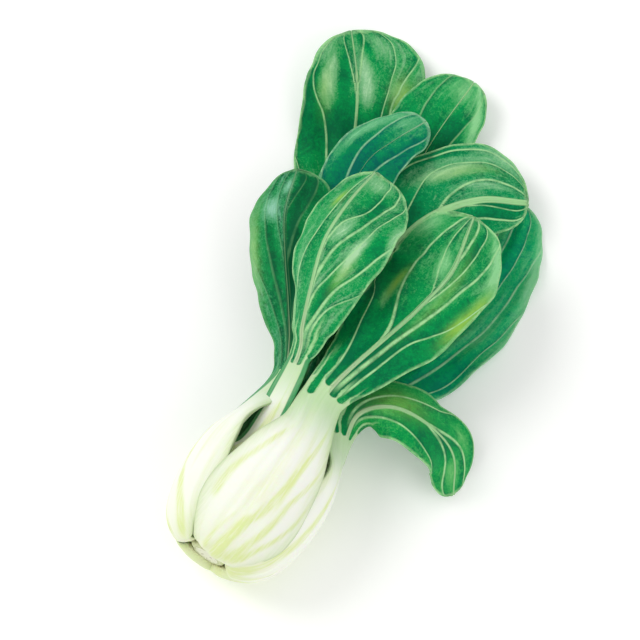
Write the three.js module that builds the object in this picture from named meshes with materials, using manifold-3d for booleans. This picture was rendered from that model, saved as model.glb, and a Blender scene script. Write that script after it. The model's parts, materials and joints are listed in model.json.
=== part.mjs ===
// A head of bok choy lying on its side: ten leaves round a short trimmed stem base.
//
// Millimetres. +Y runs along the head from the butt to the leaf tips, +Z is up, and the origin is
// on the surface, in the middle of the flat spot that the bulb rests on. Each leaf is one strip
// bent along a spine: a thick pale stalk that curves round the bulb and thins to a midrib, and a
// thin green blade on both sides of that midrib.

import * as THREE from 'three';
import { mergeVertices } from 'three/addons/utils/BufferGeometryUtils.js';
import Module from 'manifold-3d';

const wasm = await Module();
wasm.setup();

// Driving sizes of the whole head
const AXIS_HEIGHT = 34.5;
const BULB_RADIUS = 35.5;
const BUTT_TO_REST = 32.5;
const BLADE_THICKNESS = 1;
const GAP = 0.35;

// The stem base, a stepped stub inside the feet of the stalks: [radius, distance from the butt]
const STEM_BASE = [
  [0, 0.4], [6.4, -0.4], [9.1, 1], [9.1, 4.5], [6.4, 7], [6.1, 11], [3.9, 14.5], [3.4, 19], [0, 19],
];
const STEM_BASE_SIDES = 20;

// A stalk from its foot to just below its neck, for a leaf of the outer whorl:
// distance from the butt, distance from the head's axis, half width, thickness
const STALK = [
  [0.5, 9.6, 7.8, 3.4],
  [-2.5, 14.8, 12.8, 4.2],
  [2, 24.4, 20.4, 5.2],
  [12, 31.6, 25.5, 6.6],
  [30, BULB_RADIUS, 27, 7.5],
  [50, 34.8, 21.5, 7],
  [68, 29, 14.5, 5.6],
];
// How much the outer skin faces the butt at each of those places, instead of straight outwards
const FOOT_TURN = [4, 1.2, 0.3, 0, 0, 0, 0];

// Whorls: the size of a stalk against the outer ones, how much further up it starts, the share of
// its width and thickness, the radius that its cross-section curls to, and where that section
// has its points
const OUTER_COLUMNS = [-1, -0.7, -0.35, 0, 0.35, 0.7, 1];
const INNER_COLUMNS = [-1, -0.55, 0, 0.55, 1];
const OUTER = { size: 1, rise: 0, girth: 1, depth: 1, curl: 33, columns: OUTER_COLUMNS };
const INNER = { size: 0.74, rise: 6, girth: 0.65, depth: 0.74, curl: 22, columns: INNER_COLUMNS };
const HEART = { size: 0.46, rise: 13, girth: 0.4, depth: 0.6, curl: 14, columns: INNER_COLUMNS };

// At the neck the stalk curls tighter, and its thickness goes over into the midrib's
const NECK_CURL = 17;
const NECK_REACH = 22;
const NECK_THICKNESS = 4.6;
const NECK_SHARE = 0.9;
const RIB_FADE = 13;
const RIB_HALF_WIDTH = 2.6;
const RIB_THICKNESS = 2.4;
const RIB_LIFT = 0.8;
const RIB_LENGTH = 0.74;

// Shares of the stalk's length where its curl fades to the blade's, shares of the blade's length
// over which folds and waves come in, and how much later the right edge's waves run
const FLATTEN_FROM = 0.55;
const FLATTEN_SHARE = 0.5;
const FOLD_ONSET = 0.25;
const WAVE_ONSET = 0.3;
const WAVE_SHIFT = 2.1;
const WAVE_POWER = 2.5;
// A stalk is thickest in the middle and thin at its edges
const EDGE_THINNING = 0.72;
const RIB_TAPER = 0.55;
const RIB_SPACING = 1.4;
// How blunt the tips are: 2 would be an ellipse
const TIP_POWER = 2.7;

const GREEN = 0x0f8f4b;
const DARK_GREEN = 0x0a6a3c;
const BLUE_GREEN = 0x12805f;
const STALK_WHITE = 0xf2f6e4;
const STEM_CREAM = 0xe6e2c4;

// Each leaf: the angle of its stalk round the axis (0 right, 90 up), half width of the neck, the
// greatest half widths of the blade left and right of the midrib (seen from outside, tip up),
// where along the blade that is, how fast each half swells to it, how much it cups and folds,
// and the waves of its edge. Then the blade's spine from the neck to the tip, as x, y, z, and
// at the same places the direction that the outer skin faces.
const LEAVES = [
  {
    name: 'leaf_1', whorl: OUTER, angle: 2, lift: -0.5, neck: 9, color: GREEN,
    halves: [18, 17], widest: 0.55, swell: [0.8, 0.8], cup: [0.02, 0.02], fold: [0, 0],
    wave: { height: 1, length: 36, start: 0.9 },
    spine: [
      [22, 83, 38], [21, 93, 42], [28, 101, 45], [39, 106, 44], [54, 108, 36],
      [65, 107, 20], [73, 96, 5],
    ],
    facing: [
      [0.8, 0, 0.5], [0.4, -0.3, 0.8], [-0.1, -0.1, 1], [0.1, 0.3, 1],
      [0.5, 0.4, 0.8], [0.8, 0.1, 0.6], [0.9, 0, 0.5],
    ],
  },
  {
    name: 'leaf_2', whorl: OUTER, angle: 70, lift: 1, neck: 11, color: GREEN,
    halves: [33, 22.5], widest: 0.62, swell: [1.4, 1.15], cup: [0.012, 0.01], fold: [0.12, 0.15],
    wave: { height: 2, length: 38, start: 0.5 },
    spine: [[6, 87, 57], [9, 104, 60], [14, 124, 61], [19, 146, 61], [21, 171, 58], [13, 202, 49]],
    facing: [[0.2, 0, 1], [0.05, 0, 1], [-0.05, 0, 1], [-0.1, 0.1, 1], [-0.1, 0.3, 1], [0, 0.6, 1]],
  },
  {
    name: 'leaf_3', whorl: OUTER, angle: 156, lift: -2, neck: 10, color: DARK_GREEN,
    halves: [21, 26], widest: 0.6, swell: [1.7, 1.4], cup: [0.02, 0.016], fold: [0.25, 0.1],
    wave: { height: 1.5, length: 40, start: 2 },
    spine: [
      [-19, 89, 44], [-24, 103, 45], [-36, 120, 47], [-50, 138, 47],
      [-63, 157, 43], [-72, 180, 36],
    ],
    facing: [
      [-0.8, 0, 1], [-0.6, 0, 1], [-0.4, -0.1, 1], [-0.35, -0.1, 1], [-0.3, 0, 1],
      [-0.3, 0.3, 1],
    ],
  },
  {
    name: 'leaf_4', whorl: OUTER, angle: 245, lift: 0.3, neck: 10, color: GREEN,
    halves: [36, 28], widest: 0.77, swell: [1.8, 2.6], cup: [0.008, 0.008], fold: [0, 0],
    wave: { height: 3, length: 46, start: 0 },
    spine: [
      [-12, 91, 17], [-26, 117, 9], [-41, 154, 3], [-54, 190, 0.5], [-66, 219, 1],
      [-80, 243, 7], [-95, 260, 16],
    ],
    facing: [
      [-0.2, 0, -1], [-0.1, 0, -1], [0, 0, -1], [0, 0, -1], [0, -0.1, -1],
      [0, -0.3, -1], [0, -0.5, -1],
    ],
  },
  {
    name: 'leaf_5', whorl: OUTER, angle: 312, lift: -1.5, neck: 10, color: BLUE_GREEN,
    halves: [28, 32.5], widest: 0.58, swell: [1.2, 1.2], cup: [0.006, 0.006], fold: [0, 0],
    wave: { height: 2.6, length: 44, start: 1 },
    spine: [[13, 93, 17], [19, 124, 9], [23, 153, 3], [24, 183, 0.5], [20, 210, 1.5], [15, 234, 8]],
    facing: [[0.3, 0, -1], [0.1, 0, -1], [0, 0, -1], [0, 0, -1], [0, -0.1, -1], [0, -0.3, -1]],
  },
  {
    name: 'leaf_6', whorl: INNER, angle: 118, lift: 0, neck: 6.5, color: GREEN,
    halves: [18, 32], widest: 0.6, swell: [1.5, 1.05], cup: [0.035, 0.004], fold: [0.5, -0.02],
    wave: { height: 1, length: 45, start: 1 },
    spine: [
      [-15, 96, 56], [-20, 108, 63], [-27, 126, 68], [-34, 147, 70],
      [-36, 169, 67], [-36, 192, 58],
    ],
    facing: [[-0.6, 0, 1], [-0.5, 0, 1], [-0.35, 0, 1], [-0.2, 0.1, 1], [-0.1, 0.3, 1], [-0.1, 0.6, 1]],
  },
  {
    name: 'leaf_7', whorl: INNER, angle: 20, lift: 0, neck: 8, color: BLUE_GREEN,
    halves: [34, 22], widest: 0.62, swell: [1, 1], cup: [0.005, 0.006], fold: [0, 0],
    wave: { height: 2, length: 42, start: 0 },
    spine: [[5, 94, 36], [-6, 128, 29], [-13, 165, 25], [-11, 195, 23], [4, 219, 22], [24, 233, 18]],
    facing: [[0.6, 0, 1], [0.15, 0, 1], [0.05, 0, 1], [0, 0, 1], [0, 0, 1], [-0.1, 0, 1]],
  },
  {
    name: 'leaf_8', whorl: INNER, angle: 280, lift: 0, neck: 8, color: GREEN,
    halves: [20, 27], widest: 0.68, swell: [1.3, 1.3], cup: [0.003, 0.004], fold: [0, 0],
    wave: { height: 2.4, length: 40, start: 0 },
    spine: [
      [0, 91, 22], [-11, 121, 16], [-20, 158, 13], [-27, 197, 12], [-32, 236, 11],
      [-32, 272, 12],
    ],
    facing: [[0, 0, -1], [0, 0, -1], [0, 0, -1], [0, 0, -1], [0, 0, -1], [0, -0.2, -1]],
  },
  {
    name: 'leaf_9', whorl: INNER, angle: 190, lift: 0, neck: 8, color: GREEN,
    halves: [17, 17], widest: 0.6, swell: [1.3, 1.3], cup: [0.006, 0.01], fold: [-0.1, 0.1],
    wave: { height: 2, length: 36, start: 0 },
    spine: [
      [-11, 90, 37], [-21, 118, 36], [-33, 148, 34], [-44, 177, 32],
      [-48, 203, 30], [-44, 219, 29], [-37, 237, 27],
    ],
    facing: [
      [-0.4, 0, -1], [-0.2, 0, -1], [0, 0, -1], [0, 0, -1], [0, 0, -1],
      [0, -0.1, -1], [0, -0.3, -1],
    ],
  },
  {
    name: 'leaf_10', whorl: HEART, angle: 75, lift: 0, neck: 6, color: GREEN,
    halves: [12, 12], widest: 0.55, swell: [1.1, 1.1], cup: [0.02, 0.02], fold: [0.1, 0.1],
    wave: { height: 1.2, length: 38, start: 0.3 },
    spine: [[2, 93, 44], [1, 110, 45], [0, 125, 45], [-3, 141, 45], [-6, 157, 43], [-10, 172, 39]],
    facing: [[0.1, 0, 1], [0.1, 0, 1], [0.05, 0, 1], [0, 0.1, 1], [0, 0.2, 1], [0, 0.4, 1]],
  },
];

// How finely the strips are divided
const SPLINE_TENSION = 0.5;
const SLOPE_STEP = 0.4;
const STEPS_PER_SPAN = 60;
const STALK_STATIONS = 11;
const RIB_STATIONS = 7;
const BLADE_ROW_LENGTH = 12;
const TIP_ANGLES = [20, 40, 58, 73, 83, 88];
const BLADE_COLUMNS = [-1, -0.8, -0.55, -0.28, 0, 0.28, 0.55, 0.8, 1];

function smoothstep(x) {
  const c = THREE.MathUtils.clamp(x, 0, 1);
  return c * c * (3 - 2 * c);
}

function spline(rows) {
  const points = rows.map((row) => new THREE.Vector3(...row));
  const curve = new THREE.CatmullRomCurve3(points, false, 'catmullrom', SPLINE_TENSION);
  curve.arcLengthDivisions = STEPS_PER_SPAN * (rows.length - 1);
  return curve;
}

// One leaf as a bent strip. Places on it are given by s, the length along the spine from the
// foot, and a, the arc length sideways from the spine over the outer skin.
class Leaf {
  constructor(data) {
    Object.assign(this, data);
    const { size, rise, girth, depth } = data.whorl;
    const angle = THREE.MathUtils.degToRad(data.angle);
    const outward = new THREE.Vector3(Math.cos(angle), 0, Math.sin(angle));
    const places = [];
    const facings = [];
    const sections = [];
    STALK.forEach(([along, radius, half, thick], k) => {
      const reach = radius * size + data.lift * Math.min(1, k / 3);
      places.push([outward.x * reach, along * size + rise, AXIS_HEIGHT + outward.z * reach]);
      facings.push([outward.x, -FOOT_TURN[k], outward.z]);
      sections.push([half * girth, thick * depth, 0]);
    });
    sections.push([data.neck, NECK_THICKNESS, 0]);
    this.path = spline([...places, ...data.spine]);
    this.face = spline([...facings, ...data.facing].map((row) => new THREE.Vector3(...row).normalize()));
    this.section = spline(sections);
    const lengths = this.path.getLengths();
    this.length = lengths.at(-1);
    this.toNeck = lengths[STALK.length * STEPS_PER_SPAN];
    this.ribEnd = this.toNeck + RIB_LENGTH * (this.length - this.toNeck);
  }

  // Spine point and the three directions there: along, sideways and out of the outer skin
  frame(s) {
    const t = this.path.getUtoTmapping(THREE.MathUtils.clamp(s / this.length, 0, 1));
    const along = this.path.getTangent(t);
    const out = this.face.getPoint(t);
    out.addScaledVector(along, -out.dot(along)).normalize();
    const side = new THREE.Vector3().crossVectors(along, out);
    const beyond = s - THREE.MathUtils.clamp(s, 0, this.length);
    const point = this.path.getPoint(t).addScaledVector(along, beyond);
    return { point, along, side, out, t };
  }

  // Half width and thickness of the stalk below its neck
  stalkSection(s) {
    const spans = this.path.points.length - 1;
    const t = this.path.getUtoTmapping(THREE.MathUtils.clamp(s / this.length, 0, 1));
    const place = this.section.getPoint(Math.min(1, (t * spans) / STALK.length));
    return { half: place.x, thick: place.y };
  }

  // How far up the blade s is, from 0 at the neck to 1 at the tip
  share(s) {
    return THREE.MathUtils.clamp((s - this.toNeck) / (this.length - this.toNeck), 0, 1);
  }

  // Half width of the whole leaf on one side
  halfWidth(s, hand) {
    if (s < this.toNeck) return this.stalkSection(s).half;
    const q = this.share(s);
    const widest = this.halves[hand];
    if (q < this.widest) {
      const swell = Math.sin((q / this.widest) * (Math.PI / 2)) ** this.swell[hand];
      return this.neck + (widest - this.neck) * swell;
    }
    const fall = (q - this.widest) / (1 - this.widest);
    return widest * Math.max(0, 1 - fall ** TIP_POWER) ** (1 / TIP_POWER);
  }

  // The cross-section of the outer skin at s: sideways and outward place for the arc length a
  profile(s, a) {
    const hand = a < 0 ? 0 : 1;
    const reach = Math.abs(a);
    const q = this.share(s);
    const toBlade = smoothstep((s / this.toNeck - FLATTEN_FROM) / FLATTEN_SHARE);
    const near = Math.exp(-(((s - this.toNeck) / NECK_REACH) ** 2));
    const bladeBend = this.cup[hand] * (1 - near) + near / NECK_CURL;
    const bend = (1 - toBlade) / this.whorl.curl + toBlade * bladeBend;
    const across = Math.sin(bend * reach) / bend;
    let out = -(1 - Math.cos(bend * reach)) / bend;
    out -= this.fold[hand] * across * smoothstep(q / FOLD_ONSET);
    const t = reach / this.halfWidth(s, hand);
    const turn = (2 * Math.PI * (s - this.toNeck)) / this.wave.length;
    const swing = Math.sin(turn + this.wave.start + WAVE_SHIFT * hand);
    out += this.wave.height * t ** WAVE_POWER * swing * smoothstep(q / WAVE_ONSET);
    return [Math.sign(a) * across, out];
  }

  // Outer skin point lifted by `lift`, and the inner skin point `thick` behind it. The surface
  // that the head lies on presses the outer skin flat at z = 0.
  skins(s, a, lift, thick, floor) {
    const { point, side, out } = this.frame(s);
    const here = this.profile(s, a);
    const before = this.profile(s, a - SLOPE_STEP);
    const after = this.profile(s, a + SLOPE_STEP);
    const slope = [after[0] - before[0], after[1] - before[1]];
    const length = Math.hypot(...slope);
    const normal = side.clone().multiplyScalar(-slope[1] / length).addScaledVector(out, slope[0] / length);
    const outer = point.clone().addScaledVector(side, here[0]).addScaledVector(out, here[1]);
    outer.addScaledVector(normal, lift);
    outer.z = Math.max(outer.z, floor);
    const inner = outer.clone().addScaledVector(normal, -thick);
    inner.z = Math.max(inner.z, floor + thick * 0.5);
    return [outer, inner];
  }

  // Half width, lift and thickness of the stalk and of the midrib that it runs out into
  stalkShape(s) {
    if (s < this.toNeck) {
      const { half, thick } = this.stalkSection(s);
      const narrow = THREE.MathUtils.lerp(1, NECK_SHARE, smoothstep(s / this.toNeck * 4 - 3));
      return { half: half * narrow, lift: 0, thick };
    }
    const past = s - this.toNeck;
    const fade = Math.exp(-past / RIB_FADE);
    const taper = 1 - (RIB_TAPER * past) / (this.ribEnd - this.toNeck);
    const half = (this.neck * NECK_SHARE - RIB_HALF_WIDTH) * fade + RIB_HALF_WIDTH * taper;
    const thick = (NECK_THICKNESS - RIB_THICKNESS) * fade + RIB_THICKNESS;
    return { half, lift: RIB_LIFT * (1 - fade) * taper, thick };
  }

  stalkMesh(grow) {
    const stations = [];
    for (let k = 0; k < STALK_STATIONS; k += 1) stations.push((this.toNeck * k) / (STALK_STATIONS - 1));
    for (let k = 1; k <= RIB_STATIONS; k += 1) {
      stations.push(this.toNeck + (this.ribEnd - this.toNeck) * (k / RIB_STATIONS) ** RIB_SPACING);
    }
    stations[0] -= grow;
    stations[stations.length - 1] += grow;
    const rows = stations.map((s) => {
      const shape = this.stalkShape(s);
      return this.whorl.columns.map((t) => {
        const thick = shape.thick * (1 - EDGE_THINNING * t * t) + 2 * grow;
        return this.skins(s, t * (shape.half + grow), shape.lift + grow, thick, -grow);
      });
    });
    return strip(rows);
  }

  bladeMesh(grow) {
    const start = this.toNeck + 1;
    const widest = this.toNeck + this.widest * (this.length - this.toNeck);
    const count = Math.round((widest - start) / BLADE_ROW_LENGTH);
    const stations = [];
    for (let k = 0; k <= count; k += 1) stations.push(start + ((widest - start) * k) / count);
    for (const angle of TIP_ANGLES) {
      const along = Math.sin(THREE.MathUtils.degToRad(angle)) ** (2 / TIP_POWER);
      stations.push(widest + (this.length - widest) * along);
    }
    const rows = stations.map((s) => BLADE_COLUMNS.map((t) => {
      const a = t * (this.halfWidth(s, t < 0 ? 0 : 1) + grow);
      return this.skins(s, a, grow, BLADE_THICKNESS + 2 * grow, -grow);
    }));
    return strip(rows);
  }
}

// A closed strip from rows of [outer, inner] points: both skins are split into triangles alike
function strip(rows) {
  const wide = rows[0].length;
  const positions = rows.flat(2).flatMap((p) => p.toArray());
  const at = (i, j, skin) => (i * wide + j) * 2 + skin;
  const index = [];
  const quad = (a, b, c, d) => index.push(a, b, c, a, c, d);
  for (let i = 0; i < rows.length - 1; i += 1) {
    for (let j = 0; j < wide - 1; j += 1) {
      quad(at(i, j, 0), at(i, j + 1, 0), at(i + 1, j + 1, 0), at(i + 1, j, 0));
      index.push(at(i, j, 1), at(i + 1, j + 1, 1), at(i, j + 1, 1));
      index.push(at(i, j, 1), at(i + 1, j, 1), at(i + 1, j + 1, 1));
    }
    quad(at(i, 0, 1), at(i, 0, 0), at(i + 1, 0, 0), at(i + 1, 0, 1));
    quad(at(i, wide - 1, 0), at(i, wide - 1, 1), at(i + 1, wide - 1, 1), at(i + 1, wide - 1, 0));
  }
  const last = rows.length - 1;
  for (let j = 0; j < wide - 1; j += 1) {
    quad(at(0, j, 0), at(0, j, 1), at(0, j + 1, 1), at(0, j + 1, 0));
    quad(at(last, j, 1), at(last, j, 0), at(last, j + 1, 0), at(last, j + 1, 1));
  }
  const geometry = new THREE.BufferGeometry();
  geometry.setAttribute('position', new THREE.Float32BufferAttribute(positions, 3));
  geometry.setIndex(index);
  return geometry;
}

function toSolid(geometry) {
  const merged = mergeVertices(geometry);
  const mesh = new wasm.Mesh({
    numProp: 3,
    vertProperties: new Float32Array(merged.attributes.position.array),
    triVerts: new Uint32Array(merged.index.array),
  });
  return new wasm.Manifold(mesh);
}

function toGeometry(solid) {
  const { vertProperties, triVerts } = solid.getMesh();
  const geometry = new THREE.BufferGeometry();
  geometry.setAttribute('position', new THREE.BufferAttribute(vertProperties, 3));
  geometry.setIndex(new THREE.BufferAttribute(triVerts, 1));
  geometry.computeVertexNormals();
  return geometry;
}

function largestBody(solid) {
  return solid.decompose().reduce((best, body) => (body.volume() > best.volume() ? body : best));
}

// The stem base is turned round the head's axis
function stemBaseMesh() {
  const outline = STEM_BASE.map(([radius, along]) => new THREE.Vector2(radius, along));
  const geometry = new THREE.LatheGeometry(outline, STEM_BASE_SIDES);
  geometry.deleteAttribute('normal');
  geometry.deleteAttribute('uv');
  geometry.translate(0, 0, AXIS_HEIGHT);
  return geometry;
}

// Pieces in the order in which they keep their shape: a later one makes room for those before it
const leaves = LEAVES.map((data) => new Leaf(data));
const pieces = [
  ...leaves.map((leaf) => ({
    name: `${leaf.name}_stalk`, color: STALK_WHITE, roughness: 0.42, mesh: (grow) => leaf.stalkMesh(grow),
  })),
  ...leaves.map((leaf) => ({
    name: `${leaf.name}_blade`, color: leaf.color, roughness: 0.5, mesh: (grow) => leaf.bladeMesh(grow),
  })),
  { name: 'stem_base', color: STEM_CREAM, roughness: 0.7, mesh: () => stemBaseMesh() },
];

const head = new THREE.Group();
head.position.y = -BUTT_TO_REST;
const placed = [];
for (const piece of pieces) {
  let solid = toSolid(piece.mesh(0));
  for (const other of placed) {
    if (solid.intersect(other).volume() > 0) solid = solid.subtract(other);
  }
  placed.push(toSolid(piece.mesh(GAP)));
  const { color, roughness } = piece;
  const material = new THREE.MeshStandardMaterial({ color, roughness, metalness: 0 });
  const mesh = new THREE.Mesh(toGeometry(largestBody(solid)), material);
  mesh.name = piece.name;
  head.add(mesh);
}

const bokChoy = new THREE.Group();
bokChoy.add(head);

export default bokChoy;
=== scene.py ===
# %% [markdown]
# # A head of bok choy, lying on a pale table
#
# The solid model of this head is already made: a trimmed stem base and ten leaves, each with a
# thick stalk and a thin blade. It is loaded here as a fixed frame. Every piece below is built in
# the same place as the solids that it stands for, and gives them the skin, veins and colours of
# the real vegetable.

import json
import math

import bpy
import numpy as np
from mathutils import Matrix, Vector

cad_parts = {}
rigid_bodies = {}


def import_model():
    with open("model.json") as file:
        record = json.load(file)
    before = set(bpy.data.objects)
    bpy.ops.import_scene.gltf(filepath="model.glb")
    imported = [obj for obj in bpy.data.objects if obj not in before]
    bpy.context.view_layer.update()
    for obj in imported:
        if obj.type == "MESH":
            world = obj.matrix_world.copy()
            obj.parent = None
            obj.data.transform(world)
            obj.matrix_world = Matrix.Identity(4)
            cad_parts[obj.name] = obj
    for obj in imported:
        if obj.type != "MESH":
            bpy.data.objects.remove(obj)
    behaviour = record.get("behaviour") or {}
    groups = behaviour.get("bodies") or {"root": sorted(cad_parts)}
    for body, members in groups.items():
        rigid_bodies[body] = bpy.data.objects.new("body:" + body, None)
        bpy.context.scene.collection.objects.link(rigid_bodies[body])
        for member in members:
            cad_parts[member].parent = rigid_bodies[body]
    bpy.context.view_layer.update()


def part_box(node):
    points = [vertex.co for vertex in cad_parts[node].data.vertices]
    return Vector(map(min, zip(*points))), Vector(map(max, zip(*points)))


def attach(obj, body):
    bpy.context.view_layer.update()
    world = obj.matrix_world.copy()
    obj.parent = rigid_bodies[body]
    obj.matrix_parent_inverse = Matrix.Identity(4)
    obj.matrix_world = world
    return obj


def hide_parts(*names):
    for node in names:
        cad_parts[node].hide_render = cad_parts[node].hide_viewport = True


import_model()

# %% [markdown]
# ## How one leaf is laid out
#
# A bok choy leaf is a single thing: the white stalk narrows to a neck and runs on as the midrib
# of the green blade. So each leaf is modelled as one strip, bent along a spine from its foot to
# its tip. A place on it is given by the length along the spine, and by a share of the half
# width, from -1 at one edge to 1 at the other. The same layout serves the shape, the veins and
# the colours, which is why they always fit each other. The numbers are those of the solid model,
# in millimetres, with the butt of the head at y = 0.

# %% Sizes of the stalks
MM = 0.001
AXIS_HEIGHT = 34.5
LOWEST_BUTT_POINT = -0.4
butt_to_rest = -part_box("stem_base")[0].y / MM + LOWEST_BUTT_POINT
print("the butt is", round(butt_to_rest, 2), "mm from the flat spot that the bulb rests on")

# Distance from the butt, distance from the axis, half width, thickness
STALK = [
    [0.5, 9.6, 7.8, 3.4],
    [-2.5, 14.8, 12.8, 4.2],
    [2, 24.4, 20.4, 5.2],
    [12, 31.6, 25.5, 6.6],
    [30, 35.5, 27, 7.5],
    [50, 34.8, 21.5, 7],
    [68, 29, 14.5, 5.6],
]
# How far the outer face leans back towards the butt at each of these places
FOOT_TURN = [4, 1.2, 0.3, 0, 0, 0, 0]
# Three whorls, one inside the other, with smaller copies of that stalk
OUTER = dict(size=1, rise=0, girth=1, depth=1, curl=33)
INNER = dict(size=0.74, rise=6, girth=0.65, depth=0.74, curl=22)
HEART = dict(size=0.46, rise=13, girth=0.4, depth=0.6, curl=14)
# Radius of the neck's curl, how far along the leaf it is felt, and the neck's thickness
NECK_CURL, NECK_REACH, NECK_THICKNESS = 17, 22, 4.6
# Over what length the neck thins to the midrib, and the midrib's own measures
RIB_FADE, RIB_HALF_WIDTH, RIB_THICKNESS, RIB_LIFT = 13, 2.6, 2.4, 0.8
BLADE_THICKNESS = 0.8
# 2 would make the tip of a blade an ellipse, and more makes it blunter
TIP_POWER = 2.7
print("an outer stalk is", 2 * max(row[2] for row in STALK), "mm wide")

# %% Measures of the ten leaves
# Angle of the stalk round the axis, half width of the neck, greatest half widths left and right,
# where along the blade that is, how fast each half swells, how it cups and folds, the waves of
# its edge (height, length and start), and the spine and facing of the blade. A leaf with calm
# below 1 is quilted less than the others.
LEAVES = [
    dict(
        name="leaf_1", whorl=OUTER, angle=2, lift=-0.5, neck=9, halves=[18, 17], widest=0.55,
        swell=[0.8, 0.8], cup=[0.02, 0.02], fold=[0, 0], wave=[1, 36, 0.9], calm=0.35,
        spine=[[22, 83, 38], [21, 93, 42], [28, 101, 45], [39, 106, 44], [54, 108, 36],
               [65, 107, 20], [73, 96, 5]],
        facing=[[0.8, 0, 0.5], [0.4, -0.3, 0.8], [-0.1, -0.1, 1], [0.1, 0.3, 1],
                [0.5, 0.4, 0.8], [0.8, 0.1, 0.6], [0.9, 0, 0.5]],
    ),
    dict(
        name="leaf_2", whorl=OUTER, angle=70, lift=1, neck=11, halves=[33, 22.5], widest=0.62,
        swell=[1.4, 1.15], cup=[0.012, 0.01], fold=[0.12, 0.15], wave=[2, 38, 0.5],
        spine=[[6, 87, 57], [9, 104, 60], [14, 124, 61], [19, 146, 61], [21, 171, 58],
               [13, 202, 49]],
        facing=[[0.2, 0, 1], [0.05, 0, 1], [-0.05, 0, 1], [-0.1, 0.1, 1], [-0.1, 0.3, 1],
                [0, 0.6, 1]],
    ),
    dict(
        name="leaf_3", whorl=OUTER, angle=156, lift=-2, neck=10, halves=[21, 26], widest=0.6,
        swell=[1.7, 1.4], cup=[0.02, 0.016], fold=[0.25, 0.1], wave=[1.5, 40, 2],
        spine=[[-19, 89, 44], [-24, 103, 45], [-36, 120, 47], [-50, 138, 47], [-63, 157, 43],
               [-72, 180, 36]],
        facing=[[-0.8, 0, 1], [-0.6, 0, 1], [-0.4, -0.1, 1], [-0.35, -0.1, 1], [-0.3, 0, 1],
                [-0.3, 0.3, 1]],
    ),
    dict(
        name="leaf_4", whorl=OUTER, angle=245, lift=0.3, neck=10, halves=[36, 28], widest=0.77,
        swell=[1.8, 2.6], cup=[0.008, 0.008], fold=[0, 0], wave=[3, 46, 0],
        spine=[[-12, 91, 17], [-26, 117, 9], [-41, 154, 3], [-54, 190, 0.5], [-66, 219, 1],
               [-80, 243, 7], [-95, 260, 16]],
        facing=[[-0.2, 0, -1], [-0.1, 0, -1], [0, 0, -1], [0, 0, -1], [0, -0.1, -1],
                [0, -0.3, -1], [0, -0.5, -1]],
    ),
    dict(
        name="leaf_5", whorl=OUTER, angle=312, lift=-1.5, neck=10, halves=[28, 32.5], widest=0.58,
        swell=[1.2, 1.2], cup=[0.006, 0.006], fold=[0, 0], wave=[2.6, 44, 1],
        spine=[[13, 93, 17], [19, 124, 9], [23, 153, 3], [24, 183, 0.5], [20, 210, 1.5],
               [15, 234, 8]],
        facing=[[0.3, 0, -1], [0.1, 0, -1], [0, 0, -1], [0, 0, -1], [0, -0.1, -1],
                [0, -0.3, -1]],
    ),
    dict(
        name="leaf_6", whorl=INNER, angle=118, lift=0, neck=6.5, halves=[18, 32], widest=0.6,
        swell=[1.5, 1.05], cup=[0.035, 0.004], fold=[0.5, -0.02], wave=[1, 45, 1],
        spine=[[-15, 96, 56], [-20, 108, 63], [-27, 126, 68], [-34, 147, 70], [-36, 169, 67],
               [-36, 192, 58]],
        facing=[[-0.6, 0, 1], [-0.5, 0, 1], [-0.35, 0, 1], [-0.2, 0.1, 1], [-0.1, 0.3, 1],
                [-0.1, 0.6, 1]],
    ),
    dict(
        name="leaf_7", whorl=INNER, angle=20, lift=0, neck=8, halves=[34, 22], widest=0.62,
        swell=[1, 1], cup=[0.005, 0.006], fold=[0, 0], wave=[2, 42, 0],
        spine=[[5, 94, 36], [-6, 128, 29], [-13, 165, 25], [-11, 195, 23], [4, 219, 22],
               [24, 233, 18]],
        facing=[[0.6, 0, 1], [0.15, 0, 1], [0.05, 0, 1], [0, 0, 1], [0, 0, 1], [-0.1, 0, 1]],
    ),
    dict(
        name="leaf_8", whorl=INNER, angle=280, lift=0, neck=8, halves=[20, 27], widest=0.68,
        swell=[1.3, 1.3], cup=[0.003, 0.004], fold=[0, 0], wave=[2.4, 40, 0],
        spine=[[0, 91, 22], [-11, 121, 16], [-20, 158, 13], [-27, 197, 12], [-32, 236, 11],
               [-32, 272, 12]],
        facing=[[0, 0, -1], [0, 0, -1], [0, 0, -1], [0, 0, -1], [0, 0, -1], [0, -0.2, -1]],
    ),
    dict(
        name="leaf_9", whorl=INNER, angle=190, lift=0, neck=8, halves=[17, 17], widest=0.6,
        swell=[1.3, 1.3], cup=[0.006, 0.01], fold=[-0.1, 0.1], wave=[2, 36, 0],
        spine=[[-11, 90, 37], [-21, 118, 36], [-33, 148, 34], [-44, 177, 32], [-48, 203, 30],
               [-44, 219, 29], [-37, 237, 27]],
        facing=[[-0.4, 0, -1], [-0.2, 0, -1], [0, 0, -1], [0, 0, -1], [0, 0, -1],
                [0, -0.1, -1], [0, -0.3, -1]],
    ),
    dict(
        name="leaf_10", whorl=HEART, angle=75, lift=0, neck=6, halves=[12, 12], widest=0.55,
        swell=[1.1, 1.1], cup=[0.02, 0.02], fold=[0.1, 0.1], wave=[1.2, 38, 0.3],
        spine=[[2, 93, 44], [1, 110, 45], [0, 125, 45], [-3, 141, 45], [-6, 157, 43],
               [-10, 172, 39]],
        facing=[[0.1, 0, 1], [0.1, 0, 1], [0.05, 0, 1], [0, 0.1, 1], [0, 0.2, 1],
                [0, 0.4, 1]],
    ),
]
print(len(LEAVES), "leaves")

# %% [markdown]
# ## The bent strip
#
# A smooth curve through the rows of numbers carries the leaf. At each point along it there are
# three directions: along the leaf, out of its outer skin, and sideways. The cross-section is then
# a short arc in the last two. Doing this with arrays of numbers, instead of by hand in edit mode,
# keeps every leaf exactly over its solid.

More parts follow.
